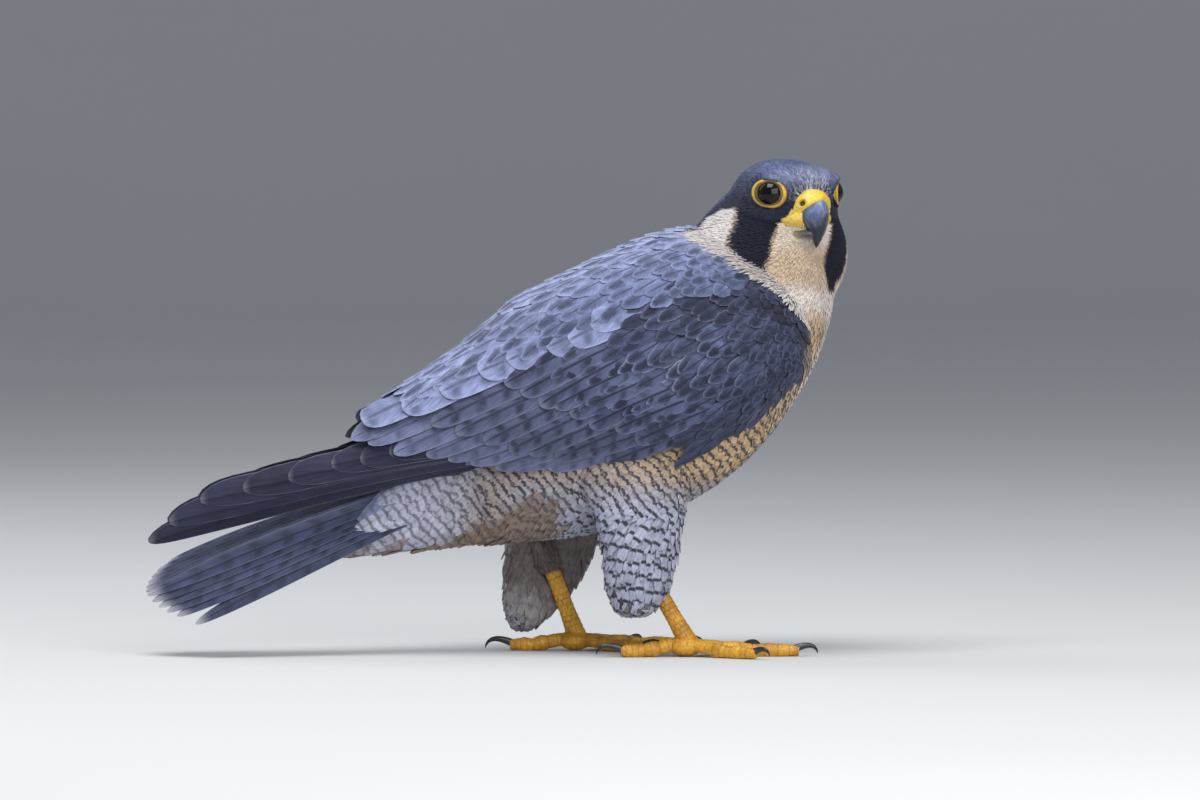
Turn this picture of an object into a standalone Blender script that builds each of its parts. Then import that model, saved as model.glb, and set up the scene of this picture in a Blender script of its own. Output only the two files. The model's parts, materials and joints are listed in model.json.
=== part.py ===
"""Adult peregrine falcon, standing with its head turned to its right: a life-size model in separate solids.

The bird faces +X, its left side is +Y and the floor is Z = 0. The origin is under the middle of the bird.
Sizes in the tables are millimetres, and MM turns them into Blender's metres.
"""

import math

import bmesh
import bpy
import numpy as np
from mathutils import Matrix, Vector

MM = 0.001
GAP = 0.3  # clearance between neighbouring solids
RIGHT, LEFT = -1, 1

# Driving sizes
BODY_HALF_WIDTH = 48
HEAD_CENTRE = (151, -2, 236)
HEAD_YAW, HEAD_PITCH = -63, 8  # degrees, to the bird's right and downwards
EYE_RADIUS = 8.0
EYE_OPENING = (14.8, 21.9, 6.0)  # middle of the left eye's lids, in the head's own frame
EYE_FACING = (0.62, 0.78, 0.10)
EYE_DEPTH = 6.1  # from the lids' plane in to the middle of the eye
LID_RADIUS, LID_TUBE = 6.9, 1.3
BROW_CENTRE, BROW_RADII, BROW_TURN = (12, 17.4, 11.6), (12, 5.8, 4.6), 40  # the left shelf over the eye
TARSUS_RADIUS = 4.1
TOE_RADIUS = 3.5
VANE_THICKNESS = 0.6
VANE_PITCH = 0.95  # from one vane to the one under it: a vane's thickness and a clearance

# Trunk and neck, from tail coverts to throat: back (x, z), front (x, z), half width
TRUNK = [
    ((-86, 58), (-87, 51), 4),
    ((-73, 73), (-78, 51.5), 9),
    ((-56, 92), (-62, 52.5), 13),
    ((-36, 115), (-42, 54), 17),
    ((-15, 138), (-18, 56.5), 23),
    ((6, 158), (10, 58.5), 32),
    ((30, 176), (40, 61.5), 40),
    ((56, 193), (70, 67), 47),
    ((78, 208), (97, 77), BODY_HALF_WIDTH),
    ((94, 217), (122, 93), 47),
    ((103, 222.5), (142, 113), 45),
    ((107, 226), (158, 136), 42),
    ((108.5, 228), (168.5, 156), 38.5),
    ((109, 229), (174, 174), 35),
    ((109.5, 230), (176, 190), 32),
    ((113, 233), (172, 202), 28),
    ((121, 236), (162, 212), 21),
    ((132, 236), (152, 222), 10),
]
TRUNK_RING, TRUNK_SECTIONS = 32, 30
TAIL_CUT = ((-14, 0, 88), (-0.93, 0, -0.36))  # a point of the cut and the side that goes to the tail
NECK_CUT = ((138, 0, 182), (0.42, 0, 0.91))
NAPE_CENTRE, NAPE_RADII = (137, 7, 218), (28, 29, 27)  # feathers filled out behind the turned head
THROAT_CENTRE, THROAT_RADII = (157, 4, 208), (27, 25, 32)  # and under its left cheek
HEAD_CUT = ((146, 0, 212), (-0.06, -0.12, 0.99))

# Head, in its own frame: distance forward, top, bottom, half width, narrowing towards the jaw
HEAD_SECTIONS = [
    (-32, 1, -9, 5, 0),
    (-29, 9, -16, 14, 0),
    (-23, 15.5, -22, 21, 0),
    (-13, 20, -26, 26, 0),
    (-2, 21.5, -27.5, 28, 0.05),
    (7, 21, -26, 27.2, 0.15),
    (13, 19, -23.5, 24.8, 0.28),
    (18, 15.8, -21, 19.6, 0.38),
    (21.5, 11.5, -18.8, 14, 0.40),
    (24.5, 6.5, -16.5, 8.8, 0.30),
    (26.5, 1.5, -13.5, 4.5, 0.2),
]
HEAD_RING, HEAD_RINGS = 26, 18
BLEND_VOXEL = 2.4  # the trunk, neck and head are blended at this grain
BLEND_PASSES = 5
BLEND_TRIANGLES = 1800

# Folded wing's outer surface: x, top, widest height, lower edge, half width
CLOAK = [
    (157.5, 176, 155, 147, 40),
    (152, 190, 153, 141.5, 48),
    (142, 203, 151, 132.5, 53.5),
    (130, 212, 149, 122.5, 57),
    (110, 220, 146, 110.5, 59),
    (85, 217.5, 141, 99.5, 59),
    (60, 208, 135, 96.5, 57),
    (35, 196, 129, 94.5, 53.5),
    (10, 183.5, 122, 93, 48.5),
    (-15, 162.5, 115, 92, 42),
    (-40, 144.5, 108, 88.5, 35.5),
    (-60, 131.5, 101, 83.5, 31),
    (-82, 116, 94, 78, 27),
    (-105, 107, 87, 74, 24),
    (-126, 98, 80, 69.5, 21),
    (-157, 86, 72, 64, 17.5),
    (-183, 66, 62, 57, 15),
]
CLOAK_POWER = 2.25
TIP_FLANK = 20  # extra height that the section's curve is given at the wing's tip, to make its side upright
LOWER_TUCK = 0.3  # how far the wing's surface turns in below its widest line, as a share of the half width
# Upper edge of the wing's solid base: x, degrees down from the middle of the back
WING_TOP = [
    (157, 82), (152, 64), (145, 56), (137, 51), (129, 47), (120, 41),
    (108, 33), (93, 23), (76, 15), (55, 10), (30, 8), (0, 8), (-26, 9),
]
WING_DEPTH = 13.5
BASE_SINK = [(-30, 6.5), (0, 4.6), (30, 3.8), (75, 3.2), (108, 1.0), (125, 0.0)]  # x, how far the base lies under the coverts

WING_ROOM, WING_SKIRT = [(-30, -1.3), (125, -1.3)], 3.0  # the thighs keep clear of the wings and their vanes by this

# Primaries from the innermost to the outermost: tip (x, z), root (x, z), width above and below the shaft
PRIMARIES = [
    ((-42, 108), (44, 116), 8, 7),
    ((-56, 106), (40, 114), 8, 7),
    ((-72, 103), (36, 112.5), 8.5, 7),
    ((-89, 99), (32, 111), 9, 7),
    ((-111.5, 93.5), (28, 109.5), 9.5, 7),
    ((-135, 88), (24, 108), 10, 6.5),
    ((-157, 82), (20, 106.5), 10.5, 6),
    ((-172, 70), (16, 105), 10.5, 6),
    ((-182, 58.8), (12, 103.5), 10, 6),
    ((-168, 60), (10, 102), 8, 5),
]
# Other rows of feathers, each from a few key feathers in the same form as the primaries
SECONDARIES = [
    ((-81.5, 115), (30, 166), 6.5, 6.5),
    ((-46, 104.5), (40, 149), 6.5, 6.5),
    ((-14, 98), (60, 135), 6, 6),
    ((21, 94), (86, 125), 6, 5),
]
GREATER_COVERTS = [
    ((-38, 121), (42, 158), 6.5, 6),
    ((-8, 108), (57, 147), 6, 6),
    ((20, 101.5), (75, 137), 6, 5.5),
    ((54, 100), (98, 127), 5.5, 5),
]
MEDIAN_COVERTS = [
    ((2, 142), (50, 168), 6.5, 6),
    ((28, 127), (70, 153), 6, 6),
    ((67, 112), (100, 136), 6, 5.5),
]
SCAPULARS = [
    ((-70, 122), (2, 157), 8, 7),
    ((-25, 139), (38, 170), 9, 8),
    ((16, 157), (72, 184), 9, 9),
    ((44, 170), (98, 196), 8, 8),
]
# Row: key feathers, how many, layer of its first vane, step to the next, tilt across a vane, how deep its root
# dives and how late along the vane it does so
FEATHER_ROWS = [
    (PRIMARIES, 10, -4.0, -VANE_PITCH, 0.0, 0.0, 1),
    (SECONDARIES, 6, -1.5, 0.0, 1.3, 8.0, 20),
    (GREATER_COVERTS, 5, 0.2, 0.0, 0.9, 8.0, 20),
    (MEDIAN_COVERTS, 4, 1.6, 0.0, 0.9, 8.0, 20),
    (SCAPULARS, 4, 1.8, 0.0, -0.3, 4.4, 1),
]
# Outline of a vane: share of its length and share of its width
VANE_SHARE = np.array([0, 0.14, 0.6, 0.9, 1.0])
VANE_WIDTH = np.array([0.75, 0.9, 1.0, 0.72, 0.15])

# Tail
TAIL_ROOT, TAIL_TIP = (-25, 0, 93), (-183, 0, 33)
TAIL_ARCH = 1.5  # how far the middle of the tail rises above the straight line
TAIL_BANK = 38  # degrees, the right side lower
TAIL_SPREAD_TIP, TAIL_SPREAD_ROOT = 4.7, 1.3  # from one feather's shaft to the next
TAIL_LEFT_SHARE = 0.5  # the left half is folded closer
TAIL_STEPS = (0, 1, 3, 6, 10, 17)  # how much shorter each pair is than the middle one
TAIL_OUTER_WEB, TAIL_INNER_WEB = 6.5, 10
TAIL_WIDTH = np.array([0.5, 0.62, 1.0, 0.78, 0.15])

# Legs: thigh sections as height, front x, rear x, middle y, half depth
RIGHT_THIGH = [
    (112, 98, 34, 24, 17),
    (96, 97, 36, 30, 19),
    (80, 96, 43, 33, 18),
    (64, 93, 49, 34.5, 16.5),
    (50, 90, 51, 35, 15),
    (38, 87, 52, 35, 13.5),
    (29, 84, 54.5, 35, 11.5),
    (21.5, 76, 59, 35, 6),
]
LEFT_THIGH = [
    (108, 84, 10, 24, 17),
    (92, 78, 9, 30, 19),
    (74, 67, 8.5, 36, 17),
    (58, 58, 8, 40, 15),
    (45, 52, 6, 42, 13.5),
    (33, 46, 7, 42.5, 12),
    (21, 35, 7, 42.5, 9.5),
    (10, 22, 11.5, 42.5, 4),
]
RIGHT_HEEL, RIGHT_ANKLE = (73, -34, 47), (94.5, -31.5, 10)
LEFT_HEEL, LEFT_ANKLE = (27.5, 30, 52), (43.5, 31.5, 10)
# Toes: name, degrees outwards from straight ahead, length, radius, claw length
TOES = [
    ("middle", 4, 48, 1.0, 17),
    ("outer", 43, 35, 0.92, 15),
    ("inner", -36, 32, 0.96, 18),
    ("hind", 176, 24, 1.0, 20),
]
FOOT_HUB_RADIUS, FOOT_HUB_HEIGHT = 7.2, 5.6
FOOT_CUT = 6.0  # along the shin from the ankle to where the foot meets the tarsus
TOE_START = 9.4
TOE_REACH = np.array([-0.12, 0.12, 0.38, 0.56, 0.74, 1.03])
TOE_HEIGHT = np.array([5.6, 4.9, 3.5, 2.9, 2.9, 2.6])
TOE_GIRTH = np.array([0.68, 0.98, 1.1, 0.94, 1.06, 0.72])

COLOURS = {
    "slate": ((0.095, 0.115, 0.17), 0.62),
    "pale": ((0.60, 0.53, 0.44), 0.75),
    "yellow": ((0.75, 0.48, 0.04), 0.45),
    "horn": ((0.10, 0.13, 0.19), 0.30),
    "black": ((0.012, 0.012, 0.014), 0.28),
    "eye": ((0.010, 0.006, 0.004), 0.05),
    "barred": ((0.33, 0.34, 0.37), 0.75),
}


def smooth_rows(rows, count):
    """Rows of numbers resampled along a Catmull-Rom curve through them."""
    rows = np.asarray(rows, float)
    ends = np.vstack([2 * rows[0] - rows[1], rows, 2 * rows[-1] - rows[-2]])
    t = np.linspace(0, len(rows) - 1, count)
    i = np.minimum(t.astype(int), len(rows) - 2)
    f = (t - i)[:, None]
    a, b, c, d = ends[i], ends[i + 1], ends[i + 2], ends[i + 3]
    return 0.5 * (2 * b + (c - a) * f + (2 * a - 5 * b + 4 * c - d) * f**2 + (3 * b - a - 3 * c + d) * f**3)


def material(name):
    """The named Principled material, made once."""
    if name in bpy.data.materials:
        return bpy.data.materials[name]
    colour, roughness = COLOURS[name]
    made = bpy.data.materials.new(name)
    made.use_nodes = True
    shader = made.node_tree.nodes["Principled BSDF"]
    shader.inputs["Base Color"].default_value = (*colour, 1)
    shader.inputs["Roughness"].default_value = roughness
    return made


def mesh_object(name, points, faces, surface="slate"):
    """A mesh object from points in millimetres, in the part's collection."""
    mesh = bpy.data.meshes.new(name)
    mesh.from_pydata((np.asarray(points, float) * MM).tolist(), [], faces)
    mesh.update()
    obj = bpy.data.objects.new(name, mesh)
    FALCON.objects.link(obj)
    obj.data.materials.append(material(surface))
    return obj


def loft(name, rings, surface="slate"):
    """A closed solid through rings of points, with a fan of triangles over each end."""
    rings = np.asarray(rings, float)
    count, around = rings.shape[:2]
    points = np.vstack([rings.reshape(-1, 3), rings[0].mean(0), rings[-1].mean(0)])
    faces = []
    for i in range(count - 1):
        for j in range(around):
            k = (j + 1) % around
            a, b, c, d = i * around + j, i * around + k, (i + 1) * around + k, (i + 1) * around + j
            faces += [(a, b, c), (a, c, d)]
    first, last = count * around, count * around + 1
    for j in range(around):
        k = (j + 1) % around
        faces.append((first, k, j))
        faces.append((last, (count - 1) * around + j, (count - 1) * around + k))
    obj = mesh_object(name, points, faces, surface)
    face_outwards(obj)
    return obj


def face_outwards(obj):
    """Turns a closed mesh's faces outwards."""
    work = bmesh.new()
    work.from_mesh(obj.data)
    bmesh.ops.recalc_face_normals(work, faces=work.faces)
    if work.calc_volume(signed=True) < 0:
        bmesh.ops.reverse_faces(work, faces=work.faces)
    work.to_mesh(obj.data)
    work.free()


def ring(centre, up, side, power=2.0, count=24):
    """Points of a superellipse with half axes up and side about a centre."""
    angle = np.linspace(0, 2 * math.pi, count, endpoint=False)
    c, s = np.cos(angle), np.sin(angle)
    c, s = np.sign(c) * np.abs(c) ** (2 / power), np.sign(s) * np.abs(s) ** (2 / power)
    return np.asarray(centre) + c[:, None] * np.asarray(up) + s[:, None] * np.asarray(side)


def tube(name, path, radii, surface, around=12, flat=1.0):
    """A round solid along a path in one vertical plane, with one radius at each point."""
    path = np.asarray(path, float)
    along = np.gradient(path, axis=0)
    along /= np.linalg.norm(along, axis=1)[:, None]
    level = np.cross(along.mean(0), (0, 0, 1.0))
    level /= np.linalg.norm(level)
    rings = []
    for point, forward, radius in zip(path, along, radii):
        across = np.cross(level, forward)
        rings.append(ring(point, across / np.linalg.norm(across) * radius, level * radius * flat, count=around))
    return loft(name, rings, surface)


def evaluated_boolean(obj, other, operation, solver):
    """The mesh that one Boolean gives, kept to its largest closed surface, and whether it is sound."""
    modifier = obj.modifiers.new("join", "BOOLEAN")
    modifier.operation, modifier.solver = operation, solver
    if isinstance(other, bpy.types.Collection):
        modifier.operand_type, modifier.collection = "COLLECTION", other
    else:
        modifier.object = other
    bpy.context.view_layer.update()
    mesh = bpy.data.meshes.new_from_object(obj.evaluated_get(bpy.context.evaluated_depsgraph_get()))
    obj.modifiers.clear()
    before, _ = keep_largest(obj.data.copy())
    after, closed = keep_largest(mesh)
    share = after / before
    return mesh, closed and (share > 0.999 if operation == "UNION" else share > 0.02)


def apply_boolean(obj, other, operation):
    """Applies one Boolean of an object, or of a collection of them, and removes what it used."""
    mesh, sound = evaluated_boolean(obj, other, operation, "EXACT")
    if not sound:
        mesh, sound = evaluated_boolean(obj, other, operation, "MANIFOLD")
    if not sound:
        raise RuntimeError(f"{obj.name}: the {operation} with {other.name} isn't one closed body")
    obj.data = mesh
    for piece in list(other.objects) if isinstance(other, bpy.types.Collection) else [other]:
        bpy.data.objects.remove(piece)


def keep_largest(mesh, weld=1e-7, flat=0.5):
    """Keeps the largest closed surface of a mesh, in triangles, and gives its volume and whether it is closed."""
    work = bmesh.new()
    work.from_mesh(mesh)
    if weld:
        bmesh.ops.remove_doubles(work, verts=work.verts, dist=weld)
        bmesh.ops.dissolve_limit(work, angle_limit=math.radians(flat), verts=work.verts, edges=work.edges)
    bmesh.ops.triangulate(work, faces=work.faces)
    seen, groups = set(), []
    for start in work.verts:
        if start in seen:
            continue
        seen.add(start)
        group, queue = [start], [start]
        while queue:
            for edge in queue.pop().link_edges:
                for vert in edge.verts:
                    if vert not in seen:
                        seen.add(vert)
                        group.append(vert)
                        queue.append(vert)
        groups.append(group)
    groups.sort(key=len)
    bmesh.ops.delete(work, geom=[vert for group in groups[:-1] for vert in group], context="VERTS")
    closed = len(work.faces) > 0 and all(len(edge.link_faces) == 2 for edge in work.edges)
    if weld and not closed:
        work.free()
        return keep_largest(mesh, weld=0)
    volume = work.calc_volume(signed=True)
    work.to_mesh(mesh)
    work.free()
    return volume, closed


def join(base, pieces):
    """Fuses closed pieces into a base object with one union."""
    group = bpy.data.collections.new("pieces")
    for piece in pieces:
        FALCON.objects.unlink(piece)
        group.objects.link(piece)
    bpy.context.scene.collection.children.link(group)
    apply_boolean(base, group, "UNION")
    bpy.data.collections.remove(group)


def copy_of(obj, name, grown=0.0):
    """A copy of a mesh object, with its surface moved out by some millimetres."""
    made = bpy.data.objects.new(name, obj.data.copy())
    FALCON.objects.link(made)
    if grown:
        made.data.update()
        normals = np.array([v.normal for v in made.data.vertices])
        points = np.array([v.co for v in made.data.vertices]) + normals * grown * MM
        made.data.vertices.foreach_set("co", points.astype(np.float32).ravel())
        made.data.update()
    return made


def cut_away(obj, *others):
    """Cuts neighbours, grown by the clearance, out of an object."""
    for other in others:
        apply_boolean(obj, copy_of(other, f"{other.name}_cutter", GAP + 0.05), "DIFFERENCE")


def apply_modifiers(obj):
    """Replaces an object's mesh by what its modifiers make of it."""
    bpy.context.view_layer.update()
    mesh = bpy.data.meshes.new_from_object(obj.evaluated_get(bpy.context.evaluated_depsgraph_get()))
    obj.modifiers.clear()
    obj.data = mesh


def keep_side(obj, point, normal, shift=0.0):
    """Keeps the part of a closed mesh on the normal's side of a plane, and closes the cut."""
    normal = Vector(normal).normalized()
    work = bmesh.new()
    work.from_mesh(obj.data)
    bmesh.ops.bisect_plane(
        work, geom=[*work.verts, *work.edges, *work.faces], dist=1e-7,
        plane_co=(Vector(point) + normal * shift) * MM, plane_no=normal, clear_inner=True,
    )
    open_edges = [edge for edge in work.edges if edge.is_boundary]
    bmesh.ops.holes_fill(work, edges=open_edges, sides=0)
    bmesh.ops.triangulate(work, faces=work.faces)
    bmesh.ops.recalc_face_normals(work, faces=work.faces)
    work.to_mesh(obj.data)
    work.free()


def move(obj, matrix):
    """Moves a mesh's points by a matrix whose shifts are in millimetres."""
    shift = matrix.to_translation() * MM
    obj.data.transform(Matrix.Translation(shift) @ matrix.to_3x3().to_4x4())


def mirrored(obj, name):
    """A copy of a mesh on the other side of the bird."""
    made = copy_of(obj, name)
    made.data.transform(Matrix.Scale(-1, 4, (0, 1, 0)))
    made.data.flip_normals()
    return made


# Trunk, neck and head


def trunk_rings(grown=0.0):
    """Rings of the whole trunk and neck, each between its back and front points."""
    rows = smooth_rows([(*back, *front, wide) for back, front, wide in TRUNK], TRUNK_SECTIONS)
    rings = []
    for back_x, back_z, front_x, front_z, wide in rows:
        back, front = np.array((back_x, 0, back_z)), np.array((front_x, 0, front_z))
        half = (back - front) / 2
        rings.append(ring((back + front) / 2, half, (0, wide + grown, 0), 2.25, TRUNK_RING))
    return rings


def head_matrix():
    """The head's own frame placed on the neck: pitched down, then turned to the bird's right."""
    turn = Matrix.Rotation(math.radians(HEAD_YAW), 4, "Z") @ Matrix.Rotation(math.radians(HEAD_PITCH), 4, "Y")
    return Matrix.Translation(HEAD_CENTRE) @ turn


def head_pieces():
    """The feathered head and the shelves over its eyes, placed on the neck."""
    rings = []
    for x, top, bottom, wide, jaw in smooth_rows(HEAD_SECTIONS, HEAD_RINGS):
        points = ring((x, 0, (top + bottom) / 2), (0, 0, (top - bottom) / 2), (0, wide, 0), 2.2, HEAD_RING)
        low = np.clip(((top + bottom) / 2 - points[:, 2]) / ((top - bottom) / 2), 0, 1)
        points[:, 1] *= 1 - jaw * low
        rings.append(points)
    pieces = [loft("skull", rings)]
    for side in (RIGHT, LEFT):
        pieces.append(egg("brow", np.array(BROW_CENTRE) * (1, side, 1), BROW_RADII, -side * BROW_TURN))
    for piece in pieces:
        move(piece, head_matrix())
    return pieces


def eye_frame(side):
    """Middle of one eye's lids, the way it faces and two directions across it."""
    flip = np.array((1, side, 1.0))
    facing = np.array(EYE_FACING) / np.linalg.norm(EYE_FACING) * flip
    level = np.cross(facing, (0, 0, 1.0))
    level /= np.linalg.norm(level)
    return np.array(EYE_OPENING) * flip, facing, level, np.cross(level, facing)


def lid_ring(side):
    """The swollen bare rim of the lids round one eye."""
    middle, facing, level, upward = eye_frame(side)
    around, across = 16, 5
    points, faces = [], []
    for i in range(around):
        turn = 2 * math.pi * i / around
        out = level * math.cos(turn) + upward * math.sin(turn)
        for j in range(across):
            roll = 2 * math.pi * j / across
            reach = LID_RADIUS + LID_TUBE * 1.2 * math.cos(roll)
            points.append(middle + out * reach + facing * LID_TUBE * math.sin(roll))
    for i in range(around):
        for j in range(across):
            k, m = (i + 1) % around, (j + 1) % across
            a, b, c, d = i * across + j, k * across + j, k * across + m, i * across + m
            faces += [(a, b, c), (a, c, d)]
    obj = mesh_object("lid", points, faces)
    face_outwards(obj)
    return obj


def egg(name, centre, radii, turn=0.0, surface="slate", segments=16):
    """An ellipsoid in millimetres, turned about the upright by some degrees."""
    work = bmesh.new()
    bmesh.ops.create_uvsphere(work, u_segments=segments, v_segments=segments // 2, radius=MM)
    mesh = bpy.data.meshes.new(name)
    work.to_mesh(mesh)
    work.free()
    mesh.transform(Matrix.Rotation(math.radians(turn), 4, "Z") @ Matrix.Diagonal((*radii, 1)))
    mesh.transform(Matrix.Translation(Vector(centre) * MM))
    obj = bpy.data.objects.new(name, mesh)
    FALCON.objects.link(obj)
    obj.data.materials.append(material(surface))
    return obj


def beak_rings(rows, sideways=2.1):
    """Rings of a bill from rows of x, top, bottom and half width, closed at both ends."""
    return [
        ring((x, 0, (top + bottom) / 2), (lean, 0, (top - bottom) / 2), (0, wide, 0), sideways, 12)
        for x, lean, top, bottom, wide in rows
    ]


def blended_body():
    """Trunk, neck and head as one closed form, with the creases between its pieces smoothed away."""
    body = loft("torso", trunk_rings())
    fill = [egg("nape", NAPE_CENTRE, NAPE_RADII, 0, "slate", 24), egg("throat", THROAT_CENTRE, THROAT_RADII, 0, "slate", 24)]
    join(body, head_pieces() + fill)
    remesh = body.modifiers.new("blend", "REMESH")
    remesh.mode, remesh.voxel_size = "VOXEL", BLEND_VOXEL * MM
    smooth = body.modifiers.new("smooth", "SMOOTH")
    smooth.factor, smooth.iterations = 0.5, BLEND_PASSES
    apply_modifiers(body)
    body.data.calc_loop_triangles()
    thin = body.modifiers.new("thin", "DECIMATE")
    thin.ratio = BLEND_TRIANGLES / len(body.data.loop_triangles)
    apply_modifiers(body)
    keep_largest(body.data)
    return body


def part_body(body):
    """The blended body parted by thin cuts into torso, neck, head and tail coverts."""
    neck, head, coverts = copy_of(body, "neck"), copy_of(body, "head"), copy_of(body, "tail")
    for obj, cut, towards in (
        (body, TAIL_CUT, -1), (body, NECK_CUT, -1), (neck, NECK_CUT, 1), (neck, HEAD_CUT, -1),
        (head, NECK_CUT, 1), (head, HEAD_CUT, 1), (coverts, TAIL_CUT, 1),
    ):
        keep_side(obj, cut[0], np.array(cut[1]) * towards, GAP / 2)
    return neck, head, coverts


def build_face(head):
    """Lids, eyes, cere with nostrils, gape and bill."""
    place = head_matrix()
    rims = [lid_ring(side) for side in (RIGHT, LEFT)]
    for rim in rims:
        move(rim, place)
    join(head, rims)
    for side, name in ((RIGHT, "eye_right"), (LEFT, "eye_left")):
        middle, facing, _, _ = eye_frame(side)
        turn = math.degrees(math.atan2(facing[1], facing[0]))
        eye = egg(name, middle - facing * EYE_DEPTH, [EYE_RADIUS] * 3, surface="eye")
        socket = egg("socket", middle - facing * EYE_DEPTH, [EYE_RADIUS + GAP] * 3)
        opening = egg("opening", middle + facing * 0.6, (3.4, LID_RADIUS - 0.9, LID_RADIUS - 0.9), turn)
        for obj in (eye, socket, opening):
            move(obj, place)
        apply_boolean(head, socket, "DIFFERENCE")
        apply_boolean(head, opening, "DIFFERENCE")

    cere_rows = smooth_rows(
        [(15, 0, 7.5, -11, 12), (20, 0.5, 8.2, -11.2, 11.6), (25, 1.2, 7.2, -11, 9.8), (28.5, 2.2, 4.6, -10.6, 8)], 7
    )
    cere = loft("cere", beak_rings(cere_rows), "yellow")
    lips = []
    for side in (RIGHT, LEFT):
        path = [(28.5, 5.0, -9.0), (25.5, 9.2, -9.5), (21.5, 12.8, -9.0), (17, 15.8, -8.0)]
        route = smooth_rows(np.array(path) * (1, side, 1), 6)
        lips.append(tube("lip", route, [2.0, 2.1, 2.1, 2.1, 2.0, 1.3], "yellow", 8))
    join(cere, lips)
    upper_rows = smooth_rows(
        [
            (26.5, 1.6, 5.0, -9.8, 7.3),
            (30, 3.4, 3.0, -9.8, 6.4),
            (33, 4.6, -0.6, -10.8, 5.4),
            (34.6, 4.8, -5.0, -13.0, 4.2),
            (34.4, 3.9, -9.8, -15.6, 3.0),
            (33.2, 2.6, -14.2, -18.0, 1.8),
            (31.6, 1.3, -18.2, -20.0, 0.7),
        ],
        11,
    )
    bill_upper = loft("bill_upper", beak_rings(upper_rows), "horn")
    lower_rows = smooth_rows(
        [(19, 0, -11.2, -16.8, 10.4), (23, 0, -11.4, -16.6, 8.6), (27.5, 0.4, -11.6, -15.8, 6.2), (31.5, 0.8, -12.8, -15, 3)], 6
    )
    bill_lower = loft("bill_lower", beak_rings(lower_rows), "horn")
    nostrils = []
    for side in (RIGHT, LEFT):
        path = [(23, 4 * side, -0.8), (25.5, 8.2 * side, -0.6), (27.5, 13 * side, -0.4)]
        nostrils.append(tube("nostril", path, [1.3, 1.3, 1.3], "yellow", 8))
    for obj in (cere, bill_upper, bill_lower, *nostrils):
        move(obj, place)
    for nostril in nostrils:
        apply_boolean(cere, nostril, "DIFFERENCE")
    cut_away(cere, head)
    cut_away(bill_upper, cere, head)
    cut_away(bill_lower, bill_upper, cere, head)


# Folded wings


def cloak_at(x):
    """Top, widest height, lower edge and half width of the folded wings at x."""
    rows = smooth_rows(CLOAK, 160)[::-1]
    return [np.interp(x, rows[:, 0], rows[:, i]) for i in range(1, 5)]


def cloak_point(x, height, layer=0.0):
    """Points on the right wing's surface at x and height, moved out by a layer's depth."""
    x, height, layer = np.broadcast_arrays(np.asarray(x, float), height, layer)
    step = 0.5
    here = cloak_surface(x, height)
    ahead = cloak_surface(x + step, height)
    lower = cloak_surface(x, height - step)
    normal = np.cross(lower - here, ahead - here)
    normal /= np.linalg.norm(normal, axis=-1)[..., None]
    return here + normal * layer[..., None]


def cloak_surface(x, height):
    """The right wing's surface: a superellipse over the back, turning in below its widest line."""
    top, widest, lower, wide = cloak_at(x)
    top = top + TIP_FLANK * np.clip((-60 - x) / 100, 0, 1)
    above = np.clip((height - widest) / (top - widest), 0, 0.985)
    below = np.clip((widest - height) / np.maximum(widest - lower, 16), 0, 1.6)
    y = wide * (1 - above**CLOAK_POWER) ** (1 / CLOAK_POWER) * (1 - LOWER_TUCK * below**2)
    spare = np.clip(height - (widest + 0.985 * (top - widest)), 0, None)
    return np.stack([x, -np.maximum(y - 2 * spare, 1.2), height - 0.7 * spare], -1)


def wing_base(name, sink=BASE_SINK, skirt=0.0):
    """The thick part of the right wing: shoulder, arm and hand, with a skirt added to its lower edge."""
    rows = smooth_rows(WING_TOP, 11)
    upper, under = 4, 2
    outer, inner = [], []
    for x, degrees in rows:
        top, widest, lower, _ = cloak_at(x)
        turn = np.radians(np.linspace(degrees, 90, upper))
        heights = widest + (top - widest) * np.cos(turn) ** (2 / CLOAK_POWER)
        heights = np.concatenate([heights, widest + (lower - skirt - widest) * np.linspace(0, 1, under + 1)[1:]])
        sunk = np.interp(x, *np.transpose(sink))
        thin = np.clip((x + 40) / 60, 0.30, 1) * np.clip((158.5 - x) / 6, 0.35, 1)
        edge = np.array([0.25] + [1.0] * (upper + under - 2) + [0.3])
        outer.append(cloak_point(x, heights, -sunk))
        inner.append(cloak_point(x, heights, -sunk - (WING_DEPTH - sunk) * thin * edge))
    rings = [np.vstack([o, i[::-1]]) for o, i in zip(outer, inner)]
    return loft(name, rings)


def vane(tip, root, above, below, layer, tilt, dive, late):
    """One feather's vane on the wing's surface, its upper edge tilted inwards and its root sunk."""
    tip, root = np.array(tip, float), np.array(root, float)
    axis = tip - root
    across = np.array((-axis[1], axis[0])) / np.linalg.norm(axis)
    across *= np.sign(across[1])
    points = []
    for share, width in zip(VANE_SHARE, VANE_WIDTH):
        middle = root + axis * share
        deep = layer - dive * (1 - share) ** late
        for edge, lift in ((above * width, -tilt), (-below * width, 0.0)):
            for face in (0.0, -VANE_THICKNESS):
                points.append(cloak_point(*(middle + across * edge), deep + lift + face))
    return plate("vane", np.array(points))


def plate(name, points):
    """A thin closed strip from sections of four points: upper edge out and in, lower edge out and in."""
    count = len(points) // 4
    faces = []
    for i in range(count - 1):
        a, b = 4 * i, 4 * i + 4
        for p, q in ((0, 2), (2, 3), (3, 1), (1, 0)):
            quad = (a + p, a + q, b + q, b + p)
            if (p, q) == (3, 1):  # the inner face takes the outer face's diagonal
                faces += [(quad[1], quad[2], quad[3]), (quad[0], quad[1], quad[3])]
            else:
                faces += [(quad[0], quad[1], quad[2]), (quad[0], quad[2], quad[3])]
    end = 4 * count - 4
    faces += [(0, 1, 3), (0, 3, 2), (end, end + 2, end + 3), (end, end + 3, end + 1)]
    obj = mesh_object(name, points, faces)
    face_outwards(obj)
    return obj


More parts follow.
